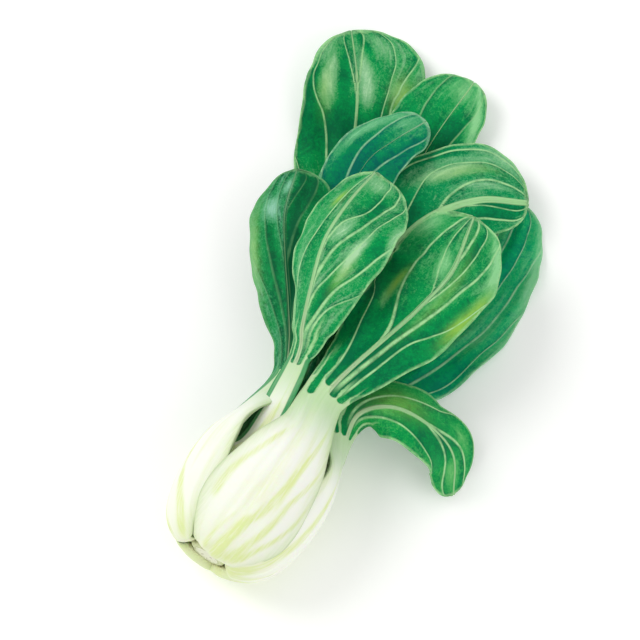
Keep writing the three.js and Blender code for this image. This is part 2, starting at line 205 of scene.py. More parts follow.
# %% A smooth step and a smooth curve
def smooth(x):
    """0 below 0, 1 above 1, and a soft step between."""
    x = np.clip(x, 0, 1)
    return x * x * (3 - 2 * x)


def curve(rows, u, slope=False):
    """A smooth curve through the rows: u counts them, and slope asks for its direction."""
    p = np.asarray(rows, float)
    count = len(p)
    p = np.vstack([2 * p[0] - p[1], p, 2 * p[-1] - p[-2]])
    i = np.clip(np.floor(u).astype(int), 0, count - 2)
    f = (u - i)[..., None]
    a, b, c, d = p[i], p[i + 1], p[i + 2], p[i + 3]
    first, second, third = c - a, 2 * a - 5 * b + 4 * c - d, 3 * b - a - 3 * c + d
    if slope:
        return 0.5 * (first + 2 * second * f + 3 * third * f**2)
    return 0.5 * (2 * b + first * f + second * f**2 + third * f**3)


def unit(v):
    return v / np.maximum(np.linalg.norm(v, axis=-1), 1e-9)[..., None]


print("half way from 2 to 4 the curve is at", curve([[2.0], [4.0]], np.array(0.5)))

# %% The bent strip
STEPS_PER_SPAN = 60


class Strip:
    """One leaf's spine and cross-section; s is the length along it, t the share sideways."""

    def __init__(self, leaf):
        self.leaf = leaf
        # A number of its own, which makes the waves and the colours of each leaf different
        self.seed = float(leaf["name"].split("_")[1])
        whorl = leaf["whorl"]
        turn = math.radians(leaf["angle"])
        out_x, out_z = math.cos(turn), math.sin(turn)
        places, faces, self.sections = [], [], []
        for k, (along, radius, half, thick) in enumerate(STALK):
            # The leaf's own lift off the axis comes in over the first rows
            reach = radius * whorl["size"] + leaf["lift"] * min(1, k / 3)
            places.append([
                out_x * reach,
                along * whorl["size"] + whorl["rise"],
                AXIS_HEIGHT + out_z * reach,
            ])
            faces.append([out_x, -FOOT_TURN[k], out_z])
            self.sections.append([half * whorl["girth"], thick * whorl["depth"]])
        self.sections.append([leaf["neck"], NECK_THICKNESS])
        self.places = np.array(places + leaf["spine"], float)
        self.faces = unit(np.array(faces + leaf["facing"], float))
        spans = len(self.places) - 1
        self.u = np.linspace(0, spans, STEPS_PER_SPAN * spans + 1)
        points = curve(self.places, self.u)
        steps = np.linalg.norm(np.diff(points, axis=0), axis=1)
        self.s = np.concatenate([[0], np.cumsum(steps)])
        self.length = self.s[-1]
        self.neck = self.s[STEPS_PER_SPAN * len(STALK)]

    def directions(self, s):
        """The place on the spine, and the directions along the leaf, outwards and sideways."""
        u = np.interp(s, self.s, self.u)
        along = unit(curve(self.places, u, True))
        face = curve(self.faces, u)
        out = unit(face - (face * along).sum(-1)[..., None] * along)
        return curve(self.places, u), along, out, np.cross(along, out)

    def run(self, s):
        """Share of the blade's length, which is below 0 in the stalk."""
        return (s - self.neck) / (self.length - self.neck)

    def share(self, s):
        return np.clip(self.run(s), 0, 1)

    def past_widest(self, s):
        """Share of the way from the blade's widest place to its tip."""
        widest = self.leaf["widest"]
        return np.clip(self.share(s) - widest, 0, 1) / (1 - widest)

    def section(self, s):
        """Half width and thickness of the stalk."""
        u = np.clip(np.interp(s, self.s, self.u), 0, len(STALK))
        return curve(self.sections, u)

    def half(self, s, left):
        """Half width of the stalk, the neck or the blade."""
        leaf = self.leaf
        q = self.share(s)
        wide = np.where(left, *leaf["halves"])
        swell = np.where(left, *leaf["swell"])
        widest = leaf["widest"]
        rise = np.sin(np.clip(q / widest, 0, 1) * np.pi / 2) ** swell
        rise = leaf["neck"] + (wide - leaf["neck"]) * rise
        fall = wide * np.clip(1 - self.past_widest(s)**TIP_POWER, 0, 1) ** (1 / TIP_POWER)
        return np.where(s < self.neck, self.section(s)[..., 0], np.where(q < widest, rise, fall))


strips = {leaf["name"]: Strip(leaf) for leaf in LEAVES}
for name, strip in strips.items():
    print(name, "is", round(strip.length), "mm long, its stalk", round(strip.neck), "mm")

# %% [markdown]
# ## Where the veins run
#
# Side veins leave the midrib one after another. They run close beside it at first and then sweep
# out to the edge, or, in the round leaves, bend back in towards the tip. Near the neck they crowd
# together and go on side by side into the stalk. Each vein is listed as a route of a few points:
# the share of the blade's length (below 0 is in the stalk), and the share of the half width. A
# list starts with the outermost vein. From the routes each point gets a vein number, which is
# whole on a vein and runs evenly from one vein to the next. The number is stored on the mesh for
# the material, with the width of the panel between two veins, so that a vein can be drawn in
# real millimetres. A painted picture could hold the veins too, but it would blur close by and
# wouldn't follow when a leaf is given another width.

# %% Routes of the side veins
# The lowest vein goes to the edge just above the neck, and all leaves have it
LOWEST = [(-0.42, 0), (-0.1, 0.66), (0.13, 1.1)]
SPREADING = [
    LOWEST,
    [(-0.3, 0), (0, 0.4), (0.25, 0.72), (0.45, 1.1)],
    [(-0.1, 0), (0.2, 0.3), (0.5, 0.62), (0.75, 1.1)],
    [(0.2, 0), (0.5, 0.34), (0.75, 0.66), (0.92, 1.1)],
    [(0.5, 0), (0.72, 0.28), (0.92, 0.62), (1, 0.9)],
    [(0.76, 0), (0.9, 0.22), (1.02, 0.5)],
]
SPARSE = [
    LOWEST,
    [(-0.1, 0), (0.2, 0.3), (0.5, 0.62), (0.75, 1.1)],
    [(0.5, 0), (0.72, 0.28), (0.92, 0.62), (1, 0.9)],
]
ARCHED = [
    LOWEST,
    [(-0.3, 0), (0, 0.4), (0.3, 0.84), (0.42, 1.1)],
    [(-0.12, 0), (0.2, 0.36), (0.5, 0.66), (0.8, 0.82), (1, 0.8)],
    [(0.2, 0), (0.5, 0.26), (0.8, 0.5), (1, 0.56)],
    [(0.62, 0), (0.8, 0.16), (1, 0.28)],
]
# The left side of each leaf, then the right side
VEINS = {
    "leaf_1": (SPARSE, SPARSE),
    "leaf_2": (
        [LOWEST,
         [(-0.3, 0), (0.02, 0.36), (0.16, 0.4), (0.3, 0.6), (0.42, 0.76), (0.6, 1.1)],
         [(0.3, 0), (0.38, 0.12), (0.47, 0.34), (0.57, 0.5), (0.7, 0.57), (0.84, 0.48),
          (1, 0.26)],
         [(0.58, 0), (0.72, 0.2), (0.86, 0.22), (1, 0.1)]],
        [LOWEST,
         [(-0.34, 0), (0, 0.42), (0.06, 0.5), (0.18, 0.48), (0.37, 0.44), (0.46, 0.6),
          (0.52, 0.76), (0.61, 0.88), (0.68, 0.97), (0.76, 1.1)],
         [(-0.2, 0), (0, 0.16), (0.19, 0.2), (0.39, 0.22), (0.56, 0.33), (0.66, 0.4),
          (0.75, 0.54), (0.85, 0.76), (0.95, 1.05)],
         [(0.52, 0), (0.7, 0.17), (0.86, 0.4), (1, 0.74)],
         [(0.76, 0), (0.88, 0.16), (1, 0.36)]],
    ),
    "leaf_3": (
        [LOWEST, [(-0.3, 0), (0.05, 0.35), (0.3, 0.55), (0.5, 0.78), (0.72, 1.1)],
         [(0, 0), (0.3, 0.25), (0.6, 0.45), (0.85, 0.62), (1, 0.8)],
         [(0.5, 0), (0.8, 0.25), (1, 0.4)]],
        SPREADING,
    ),
    "leaf_4": (
        [LOWEST, [(-0.28, 0), (0.1, 0.45), (0.5, 0.75), (0.68, 1.1)],
         [(0.2, 0), (0.6, 0.3), (0.8, 0.46), (0.85, 0.6), (0.88, 0.74), (0.93, 1.1)],
         [(0.3, 0), (0.65, 0.2), (0.8, 0.36), (0.87, 0.5), (0.91, 0.62), (0.95, 0.74),
          (1, 0.9)],
         [(0.86, 0), (0.9, 0.05), (0.95, 0.16), (1, 0.42)]],
        [LOWEST, [(-0.28, 0), (0.1, 0.45), (0.5, 0.75), (0.72, 1.1)],
         [(0.25, 0), (0.55, 0.3), (0.7, 0.45), (0.78, 0.58), (0.83, 0.76), (0.91, 0.88),
          (1, 0.84)],
         [(0.84, 0), (0.9, 0.08), (0.96, 0.2), (1, 0.4)]],
    ),
    "leaf_5": (
        [LOWEST,
         [(-0.3, 0), (0.05, 0.45), (0.28, 0.78), (0.4, 0.84), (0.51, 0.82), (0.63, 0.92),
          (0.72, 1.1)],
         [(-0.1, 0), (0.2, 0.3), (0.5, 0.52), (0.75, 0.74), (0.92, 1.05)],
         [(0.25, 0), (0.5, 0.22), (0.75, 0.45), (0.95, 0.7), (1, 0.85)],
         [(0.62, 0), (0.8, 0.16), (1, 0.35)]],
        SPREADING,
    ),
    "leaf_6": (
        [LOWEST,
         [(-0.3, 0), (0.02, 0.55), (0.17, 0.8), (0.31, 0.8), (0.47, 0.6), (0.6, 0.37),
          (0.74, 0.28), (0.9, 0.22), (1, 0.12)]],
        [LOWEST,
         [(-0.3, 0), (0.02, 0.3), (0.14, 0.32), (0.24, 0.5), (0.31, 0.9), (0.36, 1.1)],
         [(-0.1, 0), (0.1, 0.12), (0.2, 0.27), (0.33, 0.48), (0.42, 0.73), (0.61, 0.93),
          (0.72, 1.1)],
         [(0.17, 0), (0.31, 0.1), (0.39, 0.27), (0.52, 0.47), (0.72, 0.63), (0.83, 0.78),
          (0.94, 1.05)],
         [(0.34, 0), (0.5, 0.16), (0.62, 0.33), (0.7, 0.45), (0.82, 0.58), (0.97, 0.9)],
         [(0.5, 0), (0.66, 0.1), (0.76, 0.34), (0.92, 0.5), (1, 0.75)]],
    ),
    "leaf_7": (
        [LOWEST, [(-0.3, 0), (0, 0.35), (0.3, 0.65), (0.55, 1), (0.62, 1.1)],
         [(0.2, 0), (0.45, 0.3), (0.62, 0.62), (0.71, 0.86), (0.8, 0.9), (0.9, 0.88),
          (1, 0.86)],
         [(0.5, 0), (0.6, 0.12), (0.66, 0.28), (0.7, 0.42), (0.75, 0.62), (0.79, 0.68),
          (0.84, 0.67), (0.92, 0.65), (1, 0.62)],
         [(0.72, 0), (0.78, 0.2), (0.86, 0.34), (0.95, 0.36), (1, 0.34)]],
        SPREADING,
    ),
    "leaf_8": (SPARSE, SPARSE),
    "leaf_9": (SPARSE, SPARSE),
    "leaf_10": (ARCHED, ARCHED),
}
print("side veins:", sum(len(side) for sides in VEINS.values() for side in sides))

# %% Number the places between the veins
ROUTE_STEPS = 40
BEYOND_THE_EDGE = 1.9
LEAST_GAP = 0.02
GAP_IN_THE_MIDRIB = 0.004


def route_points(route):
    return curve(route, np.linspace(0, len(route) - 1, ROUTE_STEPS * len(route)))


def along_route(route, q):
    """How far out the vein is at each share of the length, and 0 before it leaves the midrib."""
    points = route_points(route)
    out = np.interp(q, np.maximum.accumulate(points[:, 0]), points[:, 1])
    return np.where(q < route[0][0], 0, np.maximum(out, 0))


def vein_number(strip, s, t):
    """The grid has one s for each row, so the veins are placed row by row."""
    numbers = np.zeros_like(s)
    q = strip.run(s[:, 0])
    for veins, columns in zip(VEINS[strip.leaf["name"]], (t[0] < 0, t[0] >= 0)):
        count = len(veins)
        places = [np.full_like(q, BEYOND_THE_EDGE)]
        for route in veins:
            places.append(np.minimum(along_route(route, q), places[-1] - LEAST_GAP))
        places = [np.maximum(p, GAP_IN_THE_MIDRIB * (count + 1 - k))
                  for k, p in enumerate(places)]
        places.append(np.zeros_like(q))
        labels = np.arange(count + 2, dtype=float)[::-1]
        for i in range(len(q)):
            row = np.array([p[i] for p in places])[::-1]
            numbers[i, columns] = np.interp(np.abs(t[i, columns]), row, labels)
    return numbers


print("the lowest vein is", along_route(LOWEST, np.array([0.0])).round(2), "out at the neck")

# %% [markdown]
# ## Painted highlights and shade, and the streaks of the stalks
#
# A leaf is not one green. Where it bulges towards the light it gets a painted highlight, in a fold
# or under another leaf painted shade, and some margins are yellowish. Each such place is listed
# once: its share of the length and of the half width (negative is left), its size in both, how far
# it slants, and how strong it is, with painted shade below 0. The streaks of the stalks are routes
# again, this time in millimetres from the foot and shares of the half width, with the half width of
# the streak at both ends in millimetres. Places like these could be brushed on the mesh by hand. As
# a list they are easier to move, and they stay with the leaf when its shape changes.

# %% Painted highlights and painted shade
# Painted highlights above 0, where a blade bulges towards the light, and painted shade below 0, in
# folds and under other leaves
PAINTED_HIGHLIGHTS_AND_SHADE = {
    "leaf_1": [(0.86, 0.15, 0.09, 0.3, 0, 0.7), (0.75, -0.6, 0.05, 0.15, 0, 0.5),
               (0.1, -0.4, 0.12, 0.5, 0, -0.6), (0.6, 0.2, 0.2, 0.4, 0, -0.6)],
    "leaf_2": [(0.74, -0.17, 0.07, 0.1, -0.5, 1.0), (0.93, -0.8, 0.05, 0.22, 0, 0.8),
               (0.83, 0.88, 0.13, 0.13, 0, 1.3), (0.5, -0.62, 0.09, 0.1, 0, 0.6),
               (0.17, -0.75, 0.05, 0.12, 0, 0.7), (0.58, 0.14, 0.2, 0.09, 0, 0.25),
               (0.45, -0.85, 0.25, 0.25, 0, -0.5), (0.3, 0.8, 0.15, 0.2, 0, -0.35),
               (0.84, 0.28, 0.07, 0.1, 1, -0.5), (0.6, 0.6, 0.12, 0.1, 0.8, -0.3),
               (0.22, 0.1, 0.2, 0.7, 0, -0.8)],
    "leaf_3": [(0.8, -0.42, 0.055, 0.19, -1.2, 1.3), (0.91, -0.13, 0.035, 0.12, 0, 0.9),
               (0.62, -0.93, 0.2, 0.12, 0, 0.8), (0.45, 0.1, 0.4, 0.12, 0.3, -1.3),
               (0.5, -0.35, 0.25, 0.16, -0.4, -0.4), (0.9, 0.5, 0.1, 0.3, 0, -0.6)],
    "leaf_4": [(0.88, 0.55, 0.07, 0.14, 0, 1.1), (0.87, -0.15, 0.07, 0.1, 0, 1.1),
               (0.97, 0.85, 0.04, 0.2, 0, 0.6), (0.74, 0, 0.07, 0.9, 0, -0.9),
               (0.86, 0.95, 0.12, 0.14, 0, -0.8), (0.95, -0.5, 0.03, 0.2, 0, 0.5),
               (0.9, 0.25, 0.06, 0.1, 0, -0.4), (0.84, -0.62, 0.03, 0.14, 0, 0.7),
               (0.96, -0.25, 0.04, 0.12, 0, -0.4)],
    "leaf_5": [(0.94, -0.05, 0.06, 0.16, 0, 0.6), (0.3, -0.6, 0.12, 0.4, 0, -0.6),
               (0.8, -0.93, 0.18, 0.1, 0, 1.1), (0.55, -0.6, 0.1, 0.12, 0, 0.3),
               (0.85, -0.35, 0.1, 0.12, 0, -0.4)],
    "leaf_6": [(0.52, 0.5, 0.11, 0.065, 0.6, 1.7), (0.63, 0.17, 0.06, 0.09, 0.8, 0.9),
               (0.95, 0.25, 0.05, 0.3, 0, 0.6), (0.7, 0.97, 0.09, 0.12, 0, 0.8),
               (0.45, -0.7, 0.3, 0.12, 0, 0.25), (0.3, 0.3, 0.1, 0.1, 0.8, -0.5),
               (0.82, 0.45, 0.08, 0.12, 0.5, -0.4), (0.62, 0.8, 0.08, 0.1, 0.5, -0.4)],
    "leaf_7": [(0.8, -0.58, 0.07, 0.08, 0, 1.1), (0.88, -0.26, 0.07, 0.06, 0, 0.6),
               (0.92, -0.84, 0.06, 0.14, 0, 0.6), (0.64, -0.3, 0.05, 0.3, 0, -0.8),
               (0.78, -1, 0.08, 0.12, 0, -0.6), (0.9, 0.4, 0.1, 0.25, 0, -0.6)],
    "leaf_8": [(0.93, -0.72, 0.1, 0.14, 2, 1.2), (0.97, 0.1, 0.03, 0.4, 0, 0.8),
               (0.86, -0.3, 0.06, 0.2, 0, -0.6), (0.8, 0, 0.05, 0.8, 0, -0.6)],
    "leaf_9": [(0.85, 0.82, 0.12, 0.12, 0, 0.9), (0.72, 0.1, 0.1, 0.6, 0, -0.7),
               (0.95, 0.3, 0.04, 0.3, 0, 0.4), (0.85, -0.7, 0.1, 0.3, 0, -0.5)],
    "leaf_10": [(0.6, 0, 0.6, 1.2, 0, -0.4)],
}
print("pale and dark places:", sum(len(places) for places in PAINTED_HIGHLIGHTS_AND_SHADE.values()))

# %% Yellowish places, and the streaks of the stalks
YELLOWISH = {
    "leaf_1": [(0.33, -0.2, 0.14, 0.4, 0, 0.45)],
    "leaf_2": [(0.56, 0.86, 0.07, 0.13, 0, 1.1), (0.67, 0.9, 0.06, 0.1, 0, 0.8),
               (0.56, -0.6, 0.08, 0.06, 0, 0.9), (0.62, 0.2, 0.2, 0.12, 0, 0.3)],
    "leaf_3": [(0.62, -0.9, 0.2, 0.16, 0, 0.5)],
    "leaf_4": [(0.83, -0.66, 0.04, 0.16, 0, 0.9), (0.86, 0.6, 0.06, 0.12, 0, 0.4)],
    "leaf_6": [(0.8, -0.4, 0.05, 0.14, 0, 1.0), (0.4, 0.45, 0.08, 0.1, 0.8, 0.4)],
    "leaf_7": [(0.82, -0.56, 0.08, 0.08, 0, 0.4)],
}
STREAKS = {
    "leaf_1": [([(4, -0.5), (28, -0.43), (44, -0.32), (70, -0.28), (90, -0.1)], 4, 1.4, 0.9),
               ([(4, -0.1), (20, 0.05), (40, 0.1)], 3, 1, 0.5),
               ([(6, 0.5), (30, 0.5), (60, 0.3)], 3, 1, 0.7)],
    "leaf_2": [([(8, -0.1), (32, 0), (42, 0.14), (68, 0.33), (86, 0.57), (98, 0.74)],
                3.4, 0.8, 1.0),
               ([(10, 0.28), (24, 0.34), (40, 0.42), (52, 0.47), (64, 0.66), (78, 0.9)],
                2.8, 0.9, 0.9),
               ([(10, 0.52), (24, 0.56), (40, 0.74), (62, 0.93)], 2.4, 1, 0.8),
               ([(34, -0.74), (54, -0.73), (72, -0.6), (86, -0.5)], 2.6, 1.2, 0.8),
               ([(8, -0.45), (20, -0.36), (36, -0.22)], 2.2, 0.8, 0.45)],
    "leaf_3": [([(8, 0.5), (20, 0.45), (34, 0.18), (56, -0.28), (74, -0.3)], 4, 1.2, 1.0),
               ([(10, -0.3), (30, -0.45), (50, -0.6)], 3, 1, 0.6)],
    "leaf_4": [([(10, -0.4), (40, -0.3), (70, -0.2)], 3, 1, 0.8),
               ([(10, 0.1), (40, 0.15), (80, 0.1)], 3, 0.8, 0.9),
               ([(10, 0.6), (40, 0.55), (70, 0.6)], 3, 1, 0.8)],
    "leaf_5": [([(10, -0.5), (40, -0.4), (70, -0.3)], 3, 1, 0.9),
               ([(10, 0.3), (40, 0.3), (80, 0.2)], 3, 0.8, 0.8)],
    "leaf_6": [([(40, -0.2), (60, -0.1), (68, 0.1), (84, 0.34)], 3, 2, 1.0)],
}
print("streaks:", sum(len(streaks) for streaks in STREAKS.values()))

# %% Add the places and the streaks up
STREAK_OVERRUN = 0.1
STREAK_FADE_IN, STREAK_FADE_OUT = 0.2, 0.3


def tone_sum(strip, s, t, places):
    q = strip.run(s)
    total = np.zeros_like(s)
    for at, off, long, wide, slant, strong in places:
        along, over = (q - at) / long, (t - off - slant * (q - at)) / wide
        total += strong * np.exp(-(along**2) - over**2)
    return total


def streak_sum(s, t, half, streaks):
    total = np.zeros_like(s)
    for route, foot_width, top_width, strong in streaks:
        points = route_points(route)
        run = (s - points[0, 0]) / (points[-1, 0] - points[0, 0])
        off = (t - np.interp(s, points[:, 0], points[:, 1])) * half
        wide = foot_width + (top_width - foot_width) * np.clip(run, 0, 1)
        starting = smooth((run + STREAK_OVERRUN) / STREAK_FADE_IN)
        ending = smooth((1 + STREAK_OVERRUN - run) / STREAK_FADE_OUT)
        total += strong * np.exp(-((off / wide) ** 2)) * starting * ending
    return total


print("a streak begins at", smooth(STREAK_OVERRUN / STREAK_FADE_IN), "of its strength")

# %% [markdown]
# ## One closed skin for each leaf
#
# The strip is filled with a fine grid of points for the outer skin. Between the veins the blade
# is quilted, and its edge is ruffled, so both go into the points themselves and not only into the
# material: they then show in the outline and throw real shadows. The edge also swings in a
# little here and there. The inner skin lies one thickness below, thick under the midrib and thin
# in the blade, and a rim joins the two, which makes the leaf a closed solid. A Solidify modifier
# could thicken a single sheet as well, but here the thickness follows the midrib point by point.

# %% Fill the strip with points
ROW_STEP = 1.0
COLUMN_STEP = 0.8
# The rows near the tip follow its round outline by angle, and stop just short of its last point
TIP_ROWS_END = 89.3
TIP_ROW_DENSITY = 1.6
# Room for the ruffles, the length of a stalk's arc, and how much closer the columns at the edge lie
SPARE_WIDTH, STALK_ARC, EDGE_CROWDING = 10, 60, 0.3


def leaf_grid(strip):
    leaf = strip.leaf
    widest_at = strip.neck + leaf["widest"] * (strip.length - strip.neck)
    body = np.linspace(0, widest_at, int(widest_at / ROW_STEP))
    tip_length = strip.length - widest_at
    reach = max(max(leaf["halves"]), tip_length)
    arc = np.radians(np.linspace(0, TIP_ROWS_END, int(TIP_ROW_DENSITY * reach / ROW_STEP)))
    rows = np.concatenate([body, widest_at + tip_length * np.sin(arc[1:]) ** (2 / TIP_POWER)])
    count = int((sum(leaf["halves"]) + SPARE_WIDTH) / COLUMN_STEP)
    count = max(count, int(STALK_ARC * leaf["whorl"]["girth"] / COLUMN_STEP))
    spread = np.linspace(-1, 1, count)
    columns = (1 - EDGE_CROWDING) * spread + EDGE_CROWDING * np.sin(spread * np.pi / 2)
    return np.meshgrid(rows, columns, indexing="ij")


print("a grid for leaf_1:", leaf_grid(strips["leaf_1"])[0].shape, "rows and columns")

# %% Bend the cross-section
# The stalk's curl opens from this share of its length on, and over this much of it
OPENING_FROM, OPENING_OVER = 0.55, 0.5
# The fold has its full slope after this share of the blade
FOLD_OVER = 0.25
# How steeply the wave rises to the edge, where it has begun, where it ends before the tip in
# millimetres, and how far the right edge lags behind the left one
WAVE_POWER, WAVE_OVER, WAVE_END, EDGE_LAG = 2.5, 0.3, 6, 2.1


def cross_section(strip, s, a, t):
    """Sideways and outward place of a point that is a millimetres along the bent section."""
    leaf = strip.leaf
    left = a < 0
    r = np.abs(a)
    q = strip.share(s)
    flat = smooth((s / strip.neck - OPENING_FROM) / OPENING_OVER)
    near = np.exp(-(((s - strip.neck) / NECK_REACH) ** 2))
    cup = np.where(left, *leaf["cup"])
    bend = (1 - flat) / leaf["whorl"]["curl"] + flat * (cup * (1 - near) + near / NECK_CURL)
    x = np.sin(bend * r) / bend
    y = -(1 - np.cos(bend * r)) / bend
    y = y - np.where(left, *leaf["fold"]) * x * smooth(q / FOLD_OVER)
    height, length, start = leaf["wave"]
    lag = np.where(left, 0, EDGE_LAG)
    swing = np.sin(2 * np.pi * (s - strip.neck) / length + start + lag)
    begun, ending = smooth(q / WAVE_OVER), smooth((strip.length - s) / WAVE_END)
    y = y + height * np.abs(t) ** WAVE_POWER * swing * begun * ending
    return np.sign(a) * x, y


wrapped = cross_section(strips["leaf_2"], np.array(40.0), np.array(20.0), np.array(0.8))
print("20 mm round leaf_2's stalk is sideways and outwards:", np.round(wrapped, 1))

# %% Quilting between the veins
QUILT_DEPTH = 1.3
# A panel of this width is quilted fully, and the quilting sets in over this share of the blade
FULL_PANEL = 11.0
QUILT_OVER = 0.12


def quilting(strip, s, t, number, panel):
    """The blade puffs up between two veins, in some panels more than in others."""
    q = strip.share(s)
    puff = 0.75 + 0.5 * np.sin(2.1 * np.floor(number) + 7 * q + strip.seed)
    quilt = -np.sin(np.pi * number) ** 2 * puff * np.clip(panel / FULL_PANEL, 0, 1)
    return QUILT_DEPTH * (quilt * smooth(q / QUILT_OVER) * (1 - np.abs(t) ** 6))


print("the blade is quilted about", QUILT_DEPTH, "mm deep where its panels are wide")

# %% Ruffles along the edge
RUFFLE_HEIGHT = 0.55
# Wave lengths along the edge, divided by 2 pi
LONG_RUFFLE, SHORT_RUFFLE = 4.6, 2.3
# The ruffles set in over this share of the blade, and fade where its half width is below this
RUFFLE_OVER = 0.35
TIP_FADE = 9.0


def ruffles(strip, s, t, half):
    """Two waves of different length that only the outermost part of the blade has."""
    ruffle = np.sin(s / LONG_RUFFLE + strip.seed + np.where(t < 0, 0, 2))
    ruffle = ruffle + 0.4 * np.sin(s / SHORT_RUFFLE + 2.3 * strip.seed)
    ruffle = ruffle * np.abs(t) ** 5 * smooth(strip.share(s) / RUFFLE_OVER)
    return RUFFLE_HEIGHT * (ruffle * smooth(half / TIP_FADE))


print("its edge is ruffled by about", RUFFLE_HEIGHT, "mm")

# %% Flutes of the stalk
FLUTE_DEPTH = 0.3
# Wave lengths across the stalk, divided by 2 pi: the flutes, their wandering, and how deep they are
FLUTE_WAVE, WANDER_WAVE, DEPTH_WAVE = 1.25, 3.9, 5.3
FLUTES_BEGIN = 12
# Along the stalk: the lumps' wave length, again divided by 2 pi, and their height next to a flute's
LUMP_WAVE, LUMP_HEIGHT = 6.3, 1.6
# The stalk's relief gives way to the blade's from this far before the neck, over this length
STALK_ENDS_BEFORE, STALK_ENDS_OVER = 12, 24


def flutes(strip, s, t, half):
    """Shallow ribs that run along the stalk, closer here and there, and a lumpy edge."""
    a = t * half
    wander = 1.2 * np.sin(a / WANDER_WAVE + strip.seed) + 0.4 * np.sin(s / 21)
    fluted = np.sin(a / FLUTE_WAVE + wander)
    fluted = fluted * (0.55 + 0.45 * np.sin(a / DEPTH_WAVE + strip.seed))
    edge = np.sin(s / LUMP_WAVE + strip.seed) * np.abs(t) ** 6 * LUMP_HEIGHT
    return FLUTE_DEPTH * (fluted * smooth(s / FLUTES_BEGIN) + edge)


def relief(strip, s, t, half, number, panel):
    """How far the outer skin stands off the plain strip, in millimetres."""
    stalk = 1 - smooth((s - strip.neck + STALK_ENDS_BEFORE) / STALK_ENDS_OVER)
    blade = quilting(strip, s, t, number, panel) + ruffles(strip, s, t, half) * (1 - stalk)
    return strip.leaf.get("calm", 1) * blade + stalk * flutes(strip, s, t, half)


print("the stalk's flutes are about", round(2 * np.pi * FLUTE_WAVE, 1), "mm wide")

# %% The width of the panel between two veins
NARROWEST_PANEL, WIDEST_PANEL = 0.2, 30
TINY = 1e-3


def panel_widths(number, points):
    """Millimetres from one vein to the next, measured over the skin."""
    slopes = []
    for axis in (0, 1):
        step = np.linalg.norm(np.gradient(points, axis=axis), axis=-1)
        slopes.append(np.gradient(number, axis=axis) / np.maximum(step, TINY))
    width = 1 / np.maximum(np.hypot(*slopes), TINY)
    return np.clip(width, NARROWEST_PANEL, WIDEST_PANEL)


print("panels are measured from", NARROWEST_PANEL, "to", WIDEST_PANEL, "mm")

# %% Thickness of the leaf
# The midrib loses this share of itself up to the tip, and ends over this share of the blade
RIB_TAPER, RIB_END = 0.75, 0.12
# The rib is this thick at its sides, as a share, and runs out over this share of its half width
RIB_SIDE, RIB_RUNOUT = 0.28, 0.6
LEAST_RIB = 0.3
EDGE_THINNING = 0.35


def thickness(strip, s, t, half):
    """Thickness at each point, and how far the midrib lifts the outer skin."""
    q = strip.share(s)
    stalk = s < strip.neck
    fade = np.exp(-np.clip(s - strip.neck, 0, None) / RIB_FADE)
    taper = (1 - RIB_TAPER * q) * smooth((1 - q) / RIB_END)
    rib_half = (strip.leaf["neck"] - RIB_HALF_WIDTH) * fade + RIB_HALF_WIDTH * taper
    rib_half = np.where(stalk, half, rib_half)
    rib_thick = (NECK_THICKNESS - RIB_THICKNESS) * fade + RIB_THICKNESS * taper
    rib_thick = np.where(stalk, strip.section(s)[..., 1], rib_thick)
    w = np.abs(t * half) / np.maximum(rib_half, LEAST_RIB)
    runout = RIB_SIDE * (1 - smooth((w - 1) / RIB_RUNOUT))
    shape = np.where(w < 1, 1 - (1 - RIB_SIDE) * w**2, runout)
    thick = np.maximum(BLADE_THICKNESS, rib_thick * shape)
    near_rib = np.maximum(thick, BLADE_THICKNESS + rib_thick * shape * 0.6)
    thick = np.where(w < 1 + RIB_RUNOUT, near_rib, thick)
    thick = np.where(stalk, rib_thick * shape, thick)
    lift = RIB_LIFT * np.where(stalk, 0, 1 - fade) * taper * np.clip(shape, 0, 1)
    return thick * (1 - EDGE_THINNING * np.abs(t) ** 12), lift


print("the leaf is", NECK_THICKNESS, "mm thick in the neck and", BLADE_THICKNESS, "in the blade")

# %% The uneven outline of a blade
SCALLOP = 0.026
# The main swing's wave length, divided by 2 pi
SCALLOP_WAVE = 9
# From which share of the blade on the outline swings, and over how much of it that sets in
SCALLOPS_FROM, SCALLOPS_OVER = 0.2, 0.3


def outline_share(strip, s, t):
    """Edges of real leaves swing in and out a little; 1 keeps the full width."""
    round_tip = np.arcsin(np.clip(strip.past_widest(s) ** (TIP_POWER / 2), 0, 1))
    phase = s / SCALLOP_WAVE + 5 * round_tip + 1.7 * strip.seed + np.where(t < 0, 0, 2.4)
    swing = (np.sin(phase) + 0.45 * np.sin(2.3 * phase + strip.seed)) / 1.45
    return 1 - SCALLOP * (1 + swing) * smooth(
        (strip.share(s) - SCALLOPS_FROM) / SCALLOPS_OVER)


print("the outline swings in by up to", round(200 * SCALLOP, 1), "% of the half width")

# %% Both skins of a leaf
# Where a leaf lies on the table, its inner skin stays this far above it
SKIN_GAP = 0.05


def skin_normals(points, out):
    normal = unit(np.cross(np.gradient(points, axis=1), np.gradient(points, axis=0)))
    return normal * np.sign((normal * out).sum(-1).mean())


def skins(strip, s, t):
    number = vein_number(strip, s, t)
    half = strip.half(s, t < 0)
    a = t * half * outline_share(strip, s, t)
    centre, _, out, side = strip.directions(s)
    x, y = cross_section(strip, s, a, t)
    thick, lift = thickness(strip, s, t, half)
    outer = centre + side * x[..., None] + out * y[..., None]
    panel = panel_widths(number, outer)
    raised = lift + relief(strip, s, t, half, number, panel)
    outer = outer + skin_normals(outer, out) * raised[..., None]
    normal = skin_normals(outer, out)
    outer[..., 2] = np.maximum(outer[..., 2], 0)
    inner = outer - normal * thick[..., None]
    inner[..., 2] = np.maximum(inner[..., 2], SKIN_GAP)
    return outer, inner, half, number, panel


print("where it lies on the table, the two skins are at least", SKIN_GAP, "mm apart")

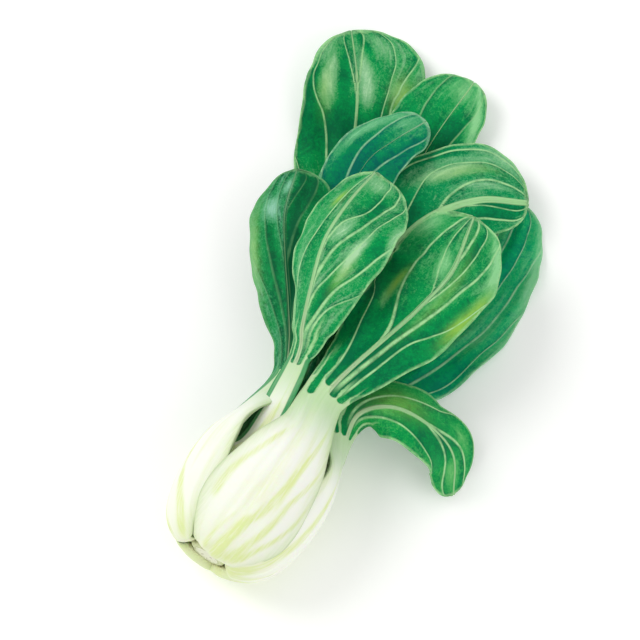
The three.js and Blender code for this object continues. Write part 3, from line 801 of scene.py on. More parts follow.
# %% Distance from the edge
def edge_distance(strip, s, t, half):
    """Distance from the edge of the blade in millimetres, round its tip too."""
    leaf = strip.leaf
    tip = (1 - leaf["widest"]) * (strip.length - strip.neck)
    wide = np.where(t < 0, *leaf["halves"])
    past = strip.past_widest(s)
    across = np.abs(t) * half / wide
    round_tip = (past**TIP_POWER + across**TIP_POWER) ** (1 / TIP_POWER)
    lengthwise = past**2 / np.maximum(round_tip**2, 1e-6)
    radius = wide * (1 - lengthwise) + tip * lengthwise
    return np.where(past > 0, (1 - round_tip) * radius, (1 - np.abs(t)) * half)


leaf_2, midrib = strips["leaf_2"], np.array(0.0)
up_leaf_2 = np.array(leaf_2.neck + 60)
off_edge = edge_distance(leaf_2, up_leaf_2, midrib, leaf_2.half(up_leaf_2, False))
print("60 mm past leaf_2's neck, its midrib is", round(float(off_edge), 1), "mm from the edge")

# %% Turn the grids into a closed mesh with its numbers
def add_to_scene(name, data):
    thing = bpy.data.objects.new(name, data)
    bpy.context.scene.collection.objects.link(thing)
    return thing


def sheet_faces(rows, columns):
    """Quads of the outer skin, the inner skin and the rim that joins them."""
    index = np.arange(rows * columns).reshape(rows, columns)
    top = np.stack([index[:-1, :-1], index[:-1, 1:], index[1:, 1:], index[1:, :-1]], -1)
    top = top.reshape(-1, 4)
    rim = np.concatenate([index[0, :], index[1:, -1], index[-1, -2::-1], index[-2:0:-1, 0]])
    after = np.roll(rim, -1)
    below = rows * columns
    band = np.stack([rim, rim + below, after + below, after], -1)
    return top, np.concatenate([top, top[:, ::-1] + below, band])


def closed_sheet(name, outer, inner, numbers):
    top, faces = sheet_faces(*outer.shape[:2])
    points = np.concatenate([outer.reshape(-1, 3), inner.reshape(-1, 3)])
    points = (points - [0, butt_to_rest, 0]) * MM
    # One face in the middle tells whether they all have to be turned to look outwards
    middle = top[len(top) // 2]
    corner = points[middle]
    outward = (outer - inner).reshape(-1, 3)[middle[0]]
    if np.dot(np.cross(corner[1] - corner[0], corner[3] - corner[0]), outward) < 0:
        faces = faces[:, ::-1]
    mesh = bpy.data.meshes.new(name)
    mesh.vertices.add(len(points))
    mesh.vertices.foreach_set("co", points.ravel())
    mesh.loops.add(faces.size)
    mesh.loops.foreach_set("vertex_index", faces.ravel())
    mesh.polygons.add(len(faces))
    mesh.polygons.foreach_set("loop_start", np.arange(0, faces.size, 4))
    mesh.polygons.foreach_set("use_smooth", np.ones(len(faces), bool))
    for label, values in numbers.items():
        layer = mesh.attributes.new(label, "FLOAT", "POINT")
        both_skins = np.stack([values, values]).ravel().astype(np.float32)
        layer.data.foreach_set("value", both_skins)
    mesh.update()
    mesh.validate()
    return add_to_scene(name, mesh)


print("a grid of 3 by 3 points gives", len(sheet_faces(3, 3)[1]), "faces")

# %% Make the ten skins
leaf_pieces = {}
for name, strip in strips.items():
    s, t = leaf_grid(strip)
    outer, inner, half, number, panel = skins(strip, s, t)
    numbers = dict(
        past_neck=s - strip.neck,
        from_foot=s,
        blade_share=strip.share(s),
        sideways=t,
        off_midrib=t * half,
        vein=number,
        panel_width=panel,
        edge=edge_distance(strip, s, t, half),
        # The painted highlights and painted shade, stored as the tone
        tone=tone_sum(strip, s, t, PAINTED_HIGHLIGHTS_AND_SHADE[name]),
        yellowish=tone_sum(strip, s, t, YELLOWISH.get(name, [])),
        streak=streak_sum(s, t, half, STREAKS.get(name, [])),
    )
    leaf_pieces[name] = closed_sheet(name + "_skin", outer, inner, numbers)
    print(name, len(leaf_pieces[name].data.polygons), "faces")

# %% [markdown]
# ## The trimmed stem base
#
# At the butt, the leaves meet in a short stem that was cut flat when the head was picked. Its
# shape is a turned one, so a half outline is spun round the axis of the head, with more steps
# than the solid has. The cut face dries a little, so it is rough, and sunken in the middle. A
# Screw modifier could spin the outline too, but its rings would be perfectly round and smooth.

# %% Spin the stem base
STEM_OUTLINE = [
    [0, 0.9], [2.4, 0.7], [4.8, 0.2], [6.4, -0.35], [7.7, 0], [8.7, 0.6], [9.05, 1.6], [9.1, 3],
    [8.95, 4.4], [8, 5.8], [6.7, 7], [6.15, 9], [5.8, 11], [4.8, 13], [3.85, 14.6], [3.5, 16.5],
    [3.35, 18.6], [2.8, 18.95], [0, 19],
]
STEM_SIDES = 96
STEM_RINGS = 70
CUT_ROUGHNESS = 0.09


def spun_stem():
    u = np.linspace(0, len(STEM_OUTLINE) - 1, STEM_RINGS)
    outline = curve(STEM_OUTLINE, u)
    turn = np.linspace(0, 2 * np.pi, STEM_SIDES, endpoint=False)
    r, along = outline[:, 0].clip(0)[:, None], outline[:, 1][:, None]
    wobble = 1 + 0.018 * np.sin(5 * turn + 0.6) + 0.012 * np.sin(9 * turn)
    rough = CUT_ROUGHNESS * np.sin(11 * turn + r * 1.7) * np.clip(r / 6, 0, 1) * (along < 1)
    x = r * wobble * np.cos(turn)
    z = r * wobble * np.sin(turn)
    grid = np.stack([x, along + rough, z + AXIS_HEIGHT], -1)[1:-1]
    rows, columns = grid.shape[:2]
    index = np.arange(rows * columns).reshape(rows, columns)
    following = np.roll(index, -1, axis=1)
    quads = np.stack([index[:-1], following[:-1], following[1:], index[1:]], -1).reshape(-1, 4)
    ends = [[0, STEM_OUTLINE[k][1], AXIS_HEIGHT] for k in (0, -1)]
    points = np.concatenate([grid.reshape(-1, 3), ends])
    butt, top = rows * columns, rows * columns + 1
    fans = [[butt, int(b), int(a)] for a, b in zip(index[0], following[0])]
    fans += [[top, int(a), int(b)] for a, b in zip(index[-1], following[-1])]
    mesh = bpy.data.meshes.new("stem_base_skin")
    points = (points - [0, butt_to_rest, 0]) * MM
    mesh.from_pydata(points.tolist(), [], quads.tolist() + fans)
    mesh.polygons.foreach_set("use_smooth", np.ones(len(mesh.polygons), bool))
    mesh.update()
    return add_to_scene("stem_base_skin", mesh)


stem_piece = spun_stem()
print("stem base:", len(stem_piece.data.polygons), "faces")

# %% [markdown]
# ## Writing shader sums as ordinary sums
#
# A plant's colours depend on many small rules, such as how far a point is from the nearest vein.
# In the shader editor each rule is a handful of Math nodes, which could be made and linked one by
# one. The small helpers below make the same nodes from ordinary sums, so the rules can be read.

# %% A number that adds Math nodes
class Number:
    """A number that changes over the surface. A sum with it adds a Math node to the tree."""

    def __init__(self, tree, socket):
        self.tree, self.socket = tree, socket

    def __add__(self, other):
        return sum_node(self.tree, "ADD", self, other)

    def __sub__(self, other):
        return sum_node(self.tree, "SUBTRACT", self, other)

    def __rsub__(self, other):
        return sum_node(self.tree, "SUBTRACT", other, self)

    def __mul__(self, other):
        return sum_node(self.tree, "MULTIPLY", self, other)

    __radd__ = __add__

    def __abs__(self):
        return sum_node(self.tree, "ABSOLUTE", self)


def feed(tree, socket, value):
    """Link a changing number to the socket, or set a plain value on it."""
    if isinstance(value, Number):
        tree.links.new(value.socket, socket)
    else:
        socket.default_value = value


def sum_node(tree, operation, *values):
    node = tree.nodes.new("ShaderNodeMath")
    node.operation = operation
    for socket, value in zip(node.inputs, values):
        feed(tree, socket, value)
    return Number(tree, node.outputs[0])


print("sums of numbers that change over the surface can now be written with +, - and *")

# %% Limits, steps and fades
def least(a, b):
    return sum_node(a.tree, "MINIMUM", a, b)


def most(a, b):
    return sum_node(a.tree, "MAXIMUM", a, b)


def floor_of(a):
    return sum_node(a.tree, "FLOOR", a)


def root_of(a):
    return sum_node(a.tree, "SQRT", a)


def fading(a, distance):
    """1 where a is 0 or less, and less and less as a grows."""
    return sum_node(a.tree, "EXPONENT", most(a, 0.0) * (-1.0 / distance))


def step_between(a, low, high):
    """0 below low, 1 above high, and a soft step between."""
    node = a.tree.nodes.new("ShaderNodeMapRange")
    node.interpolation_type = "SMOOTHSTEP"
    for label, value in (("Value", a), ("From Min", low), ("From Max", high)):
        feed(a.tree, node.inputs[label], value)
    return Number(a.tree, node.outputs["Result"])


print("a fade of 2 mm leaves", round(math.exp(-4 / 2), 2), "after 4 mm")

# %% Colours, numbers of the mesh, and noise
def mix(tree, share, first, second):
    """The first colour where share is 0, the second where it is 1."""
    node = tree.nodes.new("ShaderNodeMix")
    node.data_type = "RGBA"
    feed(tree, node.inputs["Factor"], share)
    feed(tree, node.inputs[6], first)
    feed(tree, node.inputs[7], second)
    return Number(tree, node.outputs[2])


def stored(tree, label):
    """One of the numbers that closed_sheet wrote on the mesh."""
    node = tree.nodes.new("ShaderNodeAttribute")
    node.attribute_name = label
    return Number(tree, node.outputs["Fac"])


def place(tree, x, y, z):
    node = tree.nodes.new("ShaderNodeCombineXYZ")
    for socket, value in zip(node.inputs, (x, y, z)):
        feed(tree, socket, value)
    return Number(tree, node.outputs[0])


def in_space(tree):
    """The place on the object in millimetres."""
    where = tree.nodes.new("ShaderNodeTexCoord")
    node = tree.nodes.new("ShaderNodeVectorMath")
    node.operation = "SCALE"
    tree.links.new(where.outputs["Object"], node.inputs[0])
    node.inputs["Scale"].default_value = 1 / MM
    return Number(tree, node.outputs[0])


def clouds(where, scale, detail=2.0, rough=0.5, warp=0.0):
    """Soft noise between 0 and 1."""
    node = where.tree.nodes.new("ShaderNodeTexNoise")
    feed(where.tree, node.inputs["Vector"], where)
    node.inputs["Scale"].default_value = scale
    node.inputs["Detail"].default_value = detail
    node.inputs["Roughness"].default_value = rough
    node.inputs["Distortion"].default_value = warp
    return Number(where.tree, node.outputs["Fac"])


def colour(red, green, blue):
    """A screen colour, 0 to 255, as the light that Blender works with."""
    def light(v):
        v = v / 255
        return v / 12.92 if v <= 0.04045 else ((v + 0.055) / 1.055) ** 2.4
    return (light(red), light(green), light(blue), 1.0)


print("middle grey is", round(colour(128, 128, 128)[0], 3), "as light")

# %% A helper for node groups
def new_group(name, inputs, outputs):
    """An empty node group, the numbers it is given, and the node that takes its results."""
    tree = bpy.data.node_groups.new(name, "ShaderNodeTree")
    for in_out, sockets in (("INPUT", inputs), ("OUTPUT", outputs)):
        for label, kind in sockets.items():
            tree.interface.new_socket(name=label, in_out=in_out, socket_type="NodeSocket" + kind)
    entry = tree.nodes.new("NodeGroupInput")
    leave = tree.nodes.new("NodeGroupOutput")
    given = {label: Number(tree, entry.outputs[label]) for label in inputs}
    return tree, given, leave


def hand_out(tree, leave, values):
    for label, value in values.items():
        feed(tree, leave.inputs[label], value)
    print(tree.name, "has", len(tree.nodes), "nodes")


print("node groups so far:", len(bpy.data.node_groups))

# %% [markdown]
# ## Veins, fingers and edges
#
# Where the stalk becomes the blade, the green does not start in a straight line: it reaches down
# the neck in round-ended fingers of uneven length, with pale lines between them. From there on,
# each vein is a pale line that thins towards the edge, with every second one bolder, and the edge
# itself has a pale hem. This is one node group, since all ten leaves use it with values of their
# own. The lines are drawn from the distances that the mesh holds, because a drawn line stays
# sharp where a painted picture would blur.

# %% What the vein group is given
vein_tree, given, leave = new_group(
    "Leaf veins",
    dict(Vein_width="Float", Rib_width="Float", Neck_width="Float", Green_start="Float",
         Fingers="Float", Seed="Float"),
    dict(Green="Float", Vein="Float", Rib="Float", Hem="Float", Panel="Float", Relief="Float"),
)
past = stored(vein_tree, "past_neck")
share = stored(vein_tree, "blade_share")
sideways = stored(vein_tree, "sideways")
across = abs(stored(vein_tree, "off_midrib"))
number = stored(vein_tree, "vein")
panel_width = stored(vein_tree, "panel_width")
edge = stored(vein_tree, "edge")

# The share of the way across a panel, the distance from the nearest vein, and whether that vein
# is one of the bolder ones
panel = number - floor_of(number)
off_vein = 0.5 - abs(panel - 0.5)
to_vein = off_vein * panel_width
bold = abs(floor_of((number + 0.5) * 0.5) * 2.0 - floor_of(number + 0.5))
print(vein_tree.name, "is given", list(given))

# %% Green fingers at the neck
# How far a finger wanders, as a share of its width
FINGER_WANDER = 0.5
# By how much the lengths differ, how long the round end is, and half of the green's soft edge
FINGER_LENGTHS, FINGER_ROUNDNESS, GREEN_SOFTNESS = 8.0, 2.6, 0.35
space = in_space(vein_tree)
uneven = clouds(space, scale=0.16, detail=3.0, rough=0.6)
finger_at = sideways * given["Fingers"] + (uneven - 0.5) * FINGER_WANDER
finger = finger_at - floor_of(finger_at)
# Each finger draws a number of its own, so that they are not all equally long
draw = vein_tree.nodes.new("ShaderNodeTexWhiteNoise")
draw.noise_dimensions = "2D"
feed(vein_tree, draw.inputs["Vector"],
     place(vein_tree, floor_of(finger_at), given["Seed"], 0.0))
lot = Number(vein_tree, draw.outputs["Value"])
centred = finger * 2.0 - 1.0
round_end = 1.0 - root_of(most(1.0 - centred * centred, 0.0))
finger_foot = given["Green_start"] + (lot - 0.5) * FINGER_LENGTHS + round_end * FINGER_ROUNDNESS
green = step_between(past - finger_foot, -GREEN_SOFTNESS, GREEN_SOFTNESS)
# The pale lines between the fingers fade from about 6 to 20 mm past the neck
between = 1.0 - step_between(0.5 - abs(finger - 0.5), 0.06, 0.2)
between = between * (1.0 - step_between(past + (lot - 0.5) * 10.0, 6.0, 20.0))
print("the fingers differ by up to", FINGER_LENGTHS, "mm")

# %% Veins, midrib and hem
# A vein thins along the blade and towards the edge, and is a little wider near the neck
vein_half = given["Vein_width"] * (1.0 - share * 0.45) * (1.0 - abs(sideways) * 0.4)
vein_half = vein_half * (0.7 + bold * 0.5) + fading(past, 16.0) * 0.3
vein = 1.0 - step_between(to_vein, vein_half * 0.35, vein_half * 1.65)
# It is faint here and there. It isn't drawn where veins crowd, nor just past the neck, where the
# lines between the fingers take its place
vein = vein * (0.45 + step_between(uneven, 0.3, 0.62) * 0.55)
vein = vein * step_between(panel_width, 0.7, 1.8) * step_between(past, 2.0, 14.0)
vein = most(vein, between * 0.9)
RIB_SOFTNESS = 0.3
rib_half = given["Rib_width"] * (1.0 - share * 0.6) + given["Neck_width"] * fading(past, 14.0)
rib = 1.0 - step_between(across, rib_half - RIB_SOFTNESS, rib_half + RIB_SOFTNESS)
hem = 1.0 - step_between(edge + (uneven - 0.5) * 3.0, 0.4, 1.7)
hem = hem * (0.4 + step_between(uneven, 0.4, 0.6) * 0.6)

bulge = step_between(off_vein, 0.0, 0.3)
raised = vein * 0.14 + rib * 0.25 + hem * 0.12 - bulge * 0.1
hand_out(vein_tree, leave, dict(
    Green=green, Vein=vein, Rib=rib, Hem=hem, Panel=panel, Relief=raised * green))

# %% [markdown]
# ## The colour of the blade
#
# The blade is a deep, slightly bluish green. It gets a painted highlight where it bulges between
# the veins, painted shade along one side of each vein and a painted highlight along the other, and
# it is mottled all over, as if laid on in short strokes. Noises of several sizes give the mottling:
# patches that fill half a panel and place its painted highlight, strokes drawn out along the veins,
# clouds of about a centimetre, blots of a few millimetres, and a grain of less than a millimetre.
# One noise alone would look as even as cloth. The painted highlights and painted shade that the
# mesh holds are laid over them.

# %% What the blade group is given, and its noises
blade_tree, given, leave = new_group(
    "Blade colour",
    dict(Main="Color", Deep="Color", Light="Color", Vein_colour="Color", Warm="Color",
         Vein="Float", Rib="Float", Hem="Float", Panel="Float", Vein_strength="Float",
         Seed="Float", Painted_highlight="Float"),
    dict(Colour="Color", Relief="Float"),
)
share = stored(blade_tree, "blade_share")
sideways = stored(blade_tree, "sideways")
number = stored(blade_tree, "vein")
width = stored(blade_tree, "panel_width")
# The listed painted highlights (above 0) and painted shade (below 0)
tone = stored(blade_tree, "tone")
space = in_space(blade_tree)
drawn_out = place(blade_tree, number * 1.1 + given["Seed"] * 3.1, share * 3.2, sideways * 0.8)
patches = clouds(drawn_out, scale=1.5, detail=3.0, rough=0.55, warp=0.4)
along_veins = place(blade_tree, number * 9.0, share * 22.0, given["Seed"])
strokes = clouds(along_veins, scale=1.0, detail=4.0, rough=0.65)
mottle = clouds(space, scale=0.13, detail=4.0, rough=0.65, warp=0.6)
grain = clouds(space, scale=1.15, detail=3.0, rough=0.8)
blots = clouds(space, scale=0.42, detail=3.0, rough=0.7, warp=0.8)
print(blade_tree.name, "is given", list(given))

# %% Painted shade and highlights over the greens, and yellowish green
# Millimetres over which a vein's painted shade and its painted highlight fade
VEIN_SHADE_FADE, VEIN_HIGHLIGHT_FADE = 1.8, 1.6
# Painted shade along one side of each vein, and a painted highlight along the other
painted_vein_shade = fading(given["Panel"] * width, VEIN_SHADE_FADE) * 0.8
painted_vein_highlight = fading((1.0 - given["Panel"]) * width, VEIN_HIGHLIGHT_FADE)
# Painted shade: the vein's shaded side and the listed dark places, with random dark mottling
dark = painted_vein_shade + step_between(mottle, 0.46, 0.7) * 0.5 - tone * (0.6 + strokes * 0.8)
dark = dark + (0.5 - grain) * 1.6 + (0.5 - blots) * 1.6 + 0.08
middle = 1.0 - abs(given["Panel"] * 2.0 - 1.0)
# Painted highlights: patches in the middle of the bulging panels, pale strokes along the veins, the
# vein's lit side and the listed pale places, with random pale grain
lit = step_between(patches, 0.52, 0.72) * step_between(middle, 0.1, 0.75) * given["Painted_highlight"]
lit = lit + step_between(strokes, 0.52, 0.72) * 0.22 + painted_vein_highlight * 0.2
lit = lit + tone * (0.1 + strokes * 1.4) + (grain - 0.5) * 0.75 + (blots - 0.5) * 0.5
shade = mix(blade_tree, least(most(dark, 0.0), 1.0), given["Main"], given["Deep"])
shade = mix(blade_tree, least(most(lit, 0.0), 1.0), shade, given["Light"])
warm = stored(blade_tree, "yellowish") * (0.2 + strokes * 1.4)
shade = mix(blade_tree, least(most(warm, 0.0), 0.9), shade, given["Warm"])
pale = most(given["Vein"] * given["Vein_strength"], given["Hem"] * 0.85)
pale = most(pale * (0.62 + grain * 0.8), given["Rib"])
shade = mix(blade_tree, least(pale, 1.0), shade, given["Vein_colour"])
hand_out(blade_tree, leave, dict(
    Colour=shade, Relief=strokes * 0.05 + grain * 0.03 + mottle * 0.25))

# %% [markdown]
# ## The colour of the stalk
#
# The stalk is crisp and white, almost like porcelain, with a faint green towards the neck and
# yellow-green streaks that follow its length. Its sides carry a painted green shade where they
# turn away from the light, and its edges a thin painted shadow line and a little painted
# yellow-green shade where one stalk lies on the next. In some leaves the blade runs down its
# margins as a green wing. The foot has a fine tan line where it was broken off. The bold streaks
# are those that the mesh holds, so that each can be put in its place, and the faint ones are noise
# that is squeezed sideways and drawn out along the stalk.

# %% What the stalk group is given, and its noises
stalk_tree, given, leave = new_group(
    "Stalk colour",
    dict(White="Color", Streak="Color", Pale_green="Color", Wing="Color", Seed="Float",
         Wing_start="Float", Left_wing="Float", Right_wing="Float"),
    dict(Colour="Color", Relief="Float"),
)
past = stored(stalk_tree, "past_neck")
foot = stored(stalk_tree, "from_foot")
across = stored(stalk_tree, "off_midrib")
sideways = stored(stalk_tree, "sideways")
edge = stored(stalk_tree, "edge")
broad = place(stalk_tree, sideways * 2.6, foot * 0.012, given["Seed"] * 1.7)
lines = clouds(broad, scale=1.0, detail=2.0, rough=0.55)
narrow = place(stalk_tree, across * 0.9, foot * 0.07, given["Seed"])
fine = clouds(narrow, scale=1.0, detail=4.0, rough=0.65)
space = in_space(stalk_tree)
grain = clouds(space, scale=1.1, detail=2.0, rough=0.6)
print(stalk_tree.name, "is given", list(given))

# %% Streaks, painted shade on the sides and edges, and a pale green neck
# Green of the painted shade on the stalk's sides, and of the painted shadow line along its edges
SIDE_SHADE_GREEN, EDGE_SHADOW_GREEN = colour(206, 222, 176), colour(150, 172, 126)
NECK_GREEN_FROM, NECK_GREEN_TO = -34.0, 4.0
streaks = step_between(lines, 0.5, 0.66) * 0.35
streaks = streaks + step_between(stored(stalk_tree, "streak"), 0.04, 0.85) * 0.8
# The stalk is yellower near its foot, and a little painted yellow-green shade runs along its edges
streaks = streaks * (fine * 2.6 - 0.55) + fading(foot, 16.0) * 0.55 + fading(edge, 2.0) * 0.3
tone = mix(stalk_tree, least(most(streaks, 0.0), 0.9), given["White"], given["Streak"])
# Painted green shade on the sides of the stalk, where they turn away from the light, broken by
# noise
side_shade = step_between(abs(sideways), 0.6, 1.0) * (fine * 1.2 - 0.1)
tone = mix(stalk_tree, least(most(side_shade, 0.0), 0.8), tone, SIDE_SHADE_GREEN)
# A thin painted shadow line along the edge, where one stalk lies on the next
tone = mix(stalk_tree, fading(edge, 0.6) * 0.6, tone, EDGE_SHADOW_GREEN)
upward = step_between(past, NECK_GREEN_FROM, NECK_GREEN_TO)
tone = mix(stalk_tree, least(upward * (0.75 + fine * 0.4), 1.0), tone, given["Pale_green"])
print("the white turns pale green from", -NECK_GREEN_FROM, "mm below the neck")

# %% Green wings, and the tan line at the foot
FOOT_TAN = colour(150, 128, 92)
WING_FADE, WING_WIDENS = 8.0, 34.0
wing_from = given["Wing_start"] - WING_FADE
widening = step_between(foot, wing_from, given["Wing_start"] + WING_WIDENS)
left_limit = 1.0 - given["Left_wing"] * widening + (fine - 0.5) * 0.12
right_limit = 1.0 - given["Right_wing"] * widening + (fine - 0.5) * 0.12
wing = most(step_between(sideways * -1.0, left_limit, left_limit + 0.1),
            step_between(sideways, right_limit, right_limit + 0.1))
wing = wing * step_between(foot, wing_from, given["Wing_start"] + 4.0)
tone = mix(stalk_tree, wing * (0.55 + fine * 0.7), tone, given["Wing"])
worn = fading(foot, 1.1) * 0.75 * step_between(grain, 0.35, 0.6)
tone = mix(stalk_tree, worn, tone, FOOT_TAN)
hand_out(stalk_tree, leave, dict(
    Colour=tone, Relief=fine * 0.10 + lines * 0.2 + grain * 0.02))

# %% [markdown]
# ## One material for each leaf
#
# The ten leaves share the three groups above, but they are not all the same green: some are
# bluish, one is very dark, and the front ones are a fresh middle green. One material for all
# could draw its green at random, but here each leaf has a green of its own. So each gets its own
# material, with the group values set for it. The surface is set nearly matt, so that the soft
# light shows the greens evenly, without glare. The flesh lets a little light in, so the material
# has a trace of scattering under the surface.

# %% Greens of each leaf
# Deep is the colour of the painted shade and the dark mottling, Light that of the painted
# highlights and the pale mottling
MID_GREEN = dict(
    Main=colour(0, 155, 78), Deep=colour(0, 110, 66), Light=colour(142, 208, 146),
    Vein_colour=colour(168, 220, 156), Warm=colour(146, 194, 78),
)
DARK = dict(
    MID_GREEN, Main=colour(0, 142, 70), Deep=colour(4, 92, 54), Light=colour(140, 196, 168),
    Vein_colour=colour(120, 182, 122),
)
BLUISH = dict(
    MID_GREEN, Main=colour(0, 146, 86), Deep=colour(0, 104, 88), Light=colour(130, 202, 150),
    Vein_colour=colour(160, 214, 168),
)
YELLOWER = dict(MID_GREEN, Main=colour(2, 158, 74), Light=colour(130, 204, 124))
WHITER = dict(MID_GREEN, Light=colour(172, 216, 170))
COOLER = dict(WHITER, Main=colour(0, 152, 86))
# A brighter copy of the bluish green, painted light that lifts leaf_5 where it lies face down in
# the shade of the leaves above it
SHADOW_LIFTED_BLUISH = dict(BLUISH, Main=colour(2, 176, 104), Deep=colour(0, 136, 102))
STALK_WHITE, CREAMY = colour(246, 248, 238), colour(232, 240, 206)
STREAK_YELLOW, NECK_PALE_GREEN = colour(222, 234, 158), colour(184, 216, 164)
WING_GREEN = colour(50, 148, 88)
print("middle green as light:", [round(v, 3) for v in MID_GREEN["Main"][:3]])

# %% Looks of the ten leaves
# How much painted highlight there is in the panels between the veins, the half widths of the
# midrib and of its end in the neck, the strength of the veins, where the green starts past the
# neck, how many fingers it has in each half, and the wings: where they start from the foot, and
# their shares of the left and the right half of the stalk. Widths and places are in millimetres.
VEIN_WIDTH = 0.8
NO_WING = -0.1
LOOKS = {
    "leaf_1": dict(greens=YELLOWER, light=0.2),
    "leaf_2": dict(greens=MID_GREEN, light=0.35, start=2.0, fingers=2.4),
    "leaf_3": dict(greens=DARK, light=0.3, wing=(56, 0.75, NO_WING), rib=0.0, neck=0.3,
                   veins=0.3),
    "leaf_4": dict(greens=WHITER, light=0.35, flesh=CREAMY),
    "leaf_5": dict(greens=SHADOW_LIFTED_BLUISH, light=0.3, flesh=CREAMY),
    "leaf_6": dict(greens=WHITER, light=0.35, wing=(30, 0.45, 0.35)),
    "leaf_7": dict(greens=COOLER, light=0.2, rib=3.4, wing=(24, 1.3, NO_WING)),
    "leaf_8": dict(greens=MID_GREEN, light=0.3, veins=0.45),
    "leaf_9": dict(greens=BLUISH, light=0.25, veins=0.7, wing=(20, NO_WING, 1.5)),
    "leaf_10": dict(greens=DARK, light=0.3, wing=(8, 2.2, NO_WING)),
}
print("leaves with green wings:", [name for name, look in LOOKS.items() if "wing" in look])

# %% Helpers for materials
def use_group(tree, group, values):
    node = tree.nodes.new("ShaderNodeGroup")
    node.node_tree = group
    for label, value in values.items():
        feed(tree, node.inputs[label], value)
    return {socket.name: Number(tree, socket) for socket in node.outputs}


def empty_material(name):
    material = bpy.data.materials.new(name)
    material.use_nodes = True
    tree = material.node_tree
    shader = next(n for n in tree.nodes if n.type == "BSDF_PRINCIPLED")
    return material, tree, shader


def bumped(tree, shader, height, distance):
    """Raise the surface by up to this distance, in metres, where the height is 1."""
    node = tree.nodes.new("ShaderNodeBump")
    node.inputs["Strength"].default_value = 1.0
    node.inputs["Distance"].default_value = distance
    feed(tree, node.inputs["Height"], height)
    tree.links.new(node.outputs["Normal"], shader.inputs["Normal"])


print("materials of the solid model:", len(bpy.data.materials))

# %% The material of a leaf
STALK_ROUGHNESS, BLADE_ROUGHER = 0.44, 0.16
LEAF_GLOSS = 0.07
LEAF_BUMP = 0.0012
FLESH_GLOW, FLESH_RADIUS, FLESH_DEPTH = 0.18, (0.6, 1.0, 0.35), 0.002


def leaf_colour(tree, veins, blade, stalk, vein_colour):
    """The stalk's colour, the blade's where it is green, and the midrib that joins them."""
    shade = mix(tree, veins["Green"] * (1.0 - veins["Rib"]), stalk["Colour"], blade["Colour"])
    up_the_rib = step_between(stored(tree, "past_neck"), 5.0, 45.0)
    rib_tone = mix(tree, up_the_rib, stalk["Colour"], vein_colour)
    rib = veins["Rib"] * step_between(stored(tree, "past_neck"), 0.0, 6.0)
    return mix(tree, rib, shade, rib_tone)


def leaf_material(name, look):
    material, tree, shader = empty_material(name + "_flesh_and_blade")
    seed = strips[name].seed
    greens = look["greens"]
    veins = use_group(tree, vein_tree, dict(
        Vein_width=VEIN_WIDTH, Rib_width=look.get("rib", 0.8), Neck_width=look.get("neck", 0.35),
        Green_start=look.get("start", 1.0), Fingers=look.get("fingers", 1.8), Seed=seed))
    blade = use_group(tree, blade_tree, dict(
        greens, Vein=veins["Vein"], Rib=veins["Rib"], Hem=veins["Hem"], Panel=veins["Panel"],
        Vein_strength=look.get("veins", 1.0), Seed=seed, Painted_highlight=look["light"]))
    wing_start, left_wing, right_wing = look.get("wing", (0, NO_WING, NO_WING))
    stalk = use_group(tree, stalk_tree, dict(
        White=look.get("flesh", STALK_WHITE), Streak=STREAK_YELLOW, Pale_green=NECK_PALE_GREEN,
        Wing=WING_GREEN, Seed=seed, Wing_start=float(wing_start), Left_wing=left_wing,
        Right_wing=right_wing))
    shade = leaf_colour(tree, veins, blade, stalk, greens["Vein_colour"])
    feed(tree, shader.inputs["Base Color"], shade)
    feed(tree, shader.inputs["Roughness"], STALK_ROUGHNESS + veins["Green"] * BLADE_ROUGHER)
    shader.inputs["Specular IOR Level"].default_value = LEAF_GLOSS
    shader.inputs["Subsurface Weight"].default_value = FLESH_GLOW
    shader.inputs["Subsurface Radius"].default_value = FLESH_RADIUS
    shader.inputs["Subsurface Scale"].default_value = FLESH_DEPTH
    height = veins["Relief"] + blade["Relief"] * veins["Green"] + stalk["Relief"]
    bumped(tree, shader, height, LEAF_BUMP)
    return material


for name, piece in leaf_pieces.items():
    piece.data.materials.append(leaf_material(name, LOOKS[name]))
print("materials:", len(bpy.data.materials))

# %% [markdown]
# ## The cut butt
#
# The cut is cream, with a faint ring under the skin and a few grey-brown spots where it has
# dried. The rings come from the distance to the axis, and the spots from noise. A painted
# picture could show both too, but a face as small as this needs no more than a few nodes.

# %% Material of the stem base
CUT_CREAM, RIND_GREEN = colour(238, 240, 214), colour(214, 222, 168)
RING_OLIVE, DRIED_BROWN = colour(168, 178, 112), colour(136, 120, 84)
CUT_GLOSS = 0.3
CUT_BUMP = 0.001
material, tree, shader = empty_material("cut_stem")
space = in_space(tree)
split = tree.nodes.new("ShaderNodeSeparateXYZ")
feed(tree, split.inputs[0], space)
side_x = Number(tree, split.outputs[0])
side_z = Number(tree, split.outputs[2]) - AXIS_HEIGHT
from_axis = root_of(side_x * side_x + side_z * side_z)
spots = clouds(space, scale=0.55, detail=4.0, rough=0.6, warp=0.5)
grain = clouds(space, scale=2.2, detail=2.0, rough=0.6)
tone = mix(tree, step_between(from_axis, 4.0, 8.4), CUT_CREAM, RIND_GREEN)
ring = step_between(from_axis, 5.8, 6.3) * (1.0 - step_between(from_axis, 6.6, 7.2))
tone = mix(tree, ring * 0.5, tone, RING_OLIVE)
dried = step_between(spots, 0.56, 0.7) * (0.5 + grain * 0.5)
tone = mix(tree, dried * 0.8, tone, DRIED_BROWN)
feed(tree, shader.inputs["Base Color"], tone)
feed(tree, shader.inputs["Roughness"], 0.55 + spots * 0.2)
shader.inputs["Specular IOR Level"].default_value = CUT_GLOSS
bumped(tree, shader, spots * 0.4 + grain * 0.12, CUT_BUMP)
stem_piece.data.materials.append(material)
print("the butt has", len(tree.nodes), "nodes")

# %% [markdown]
# ## Tie the pieces to the solid model
#
# The head has no joint, so everything rides on one body. Each leaf's skin stands for the two
# solids of its stalk and its blade, and the spun stem stands for the solid stub. A leaf could be
# two pieces, as its solids are, but one skin from foot to tip shows no seam at the neck.

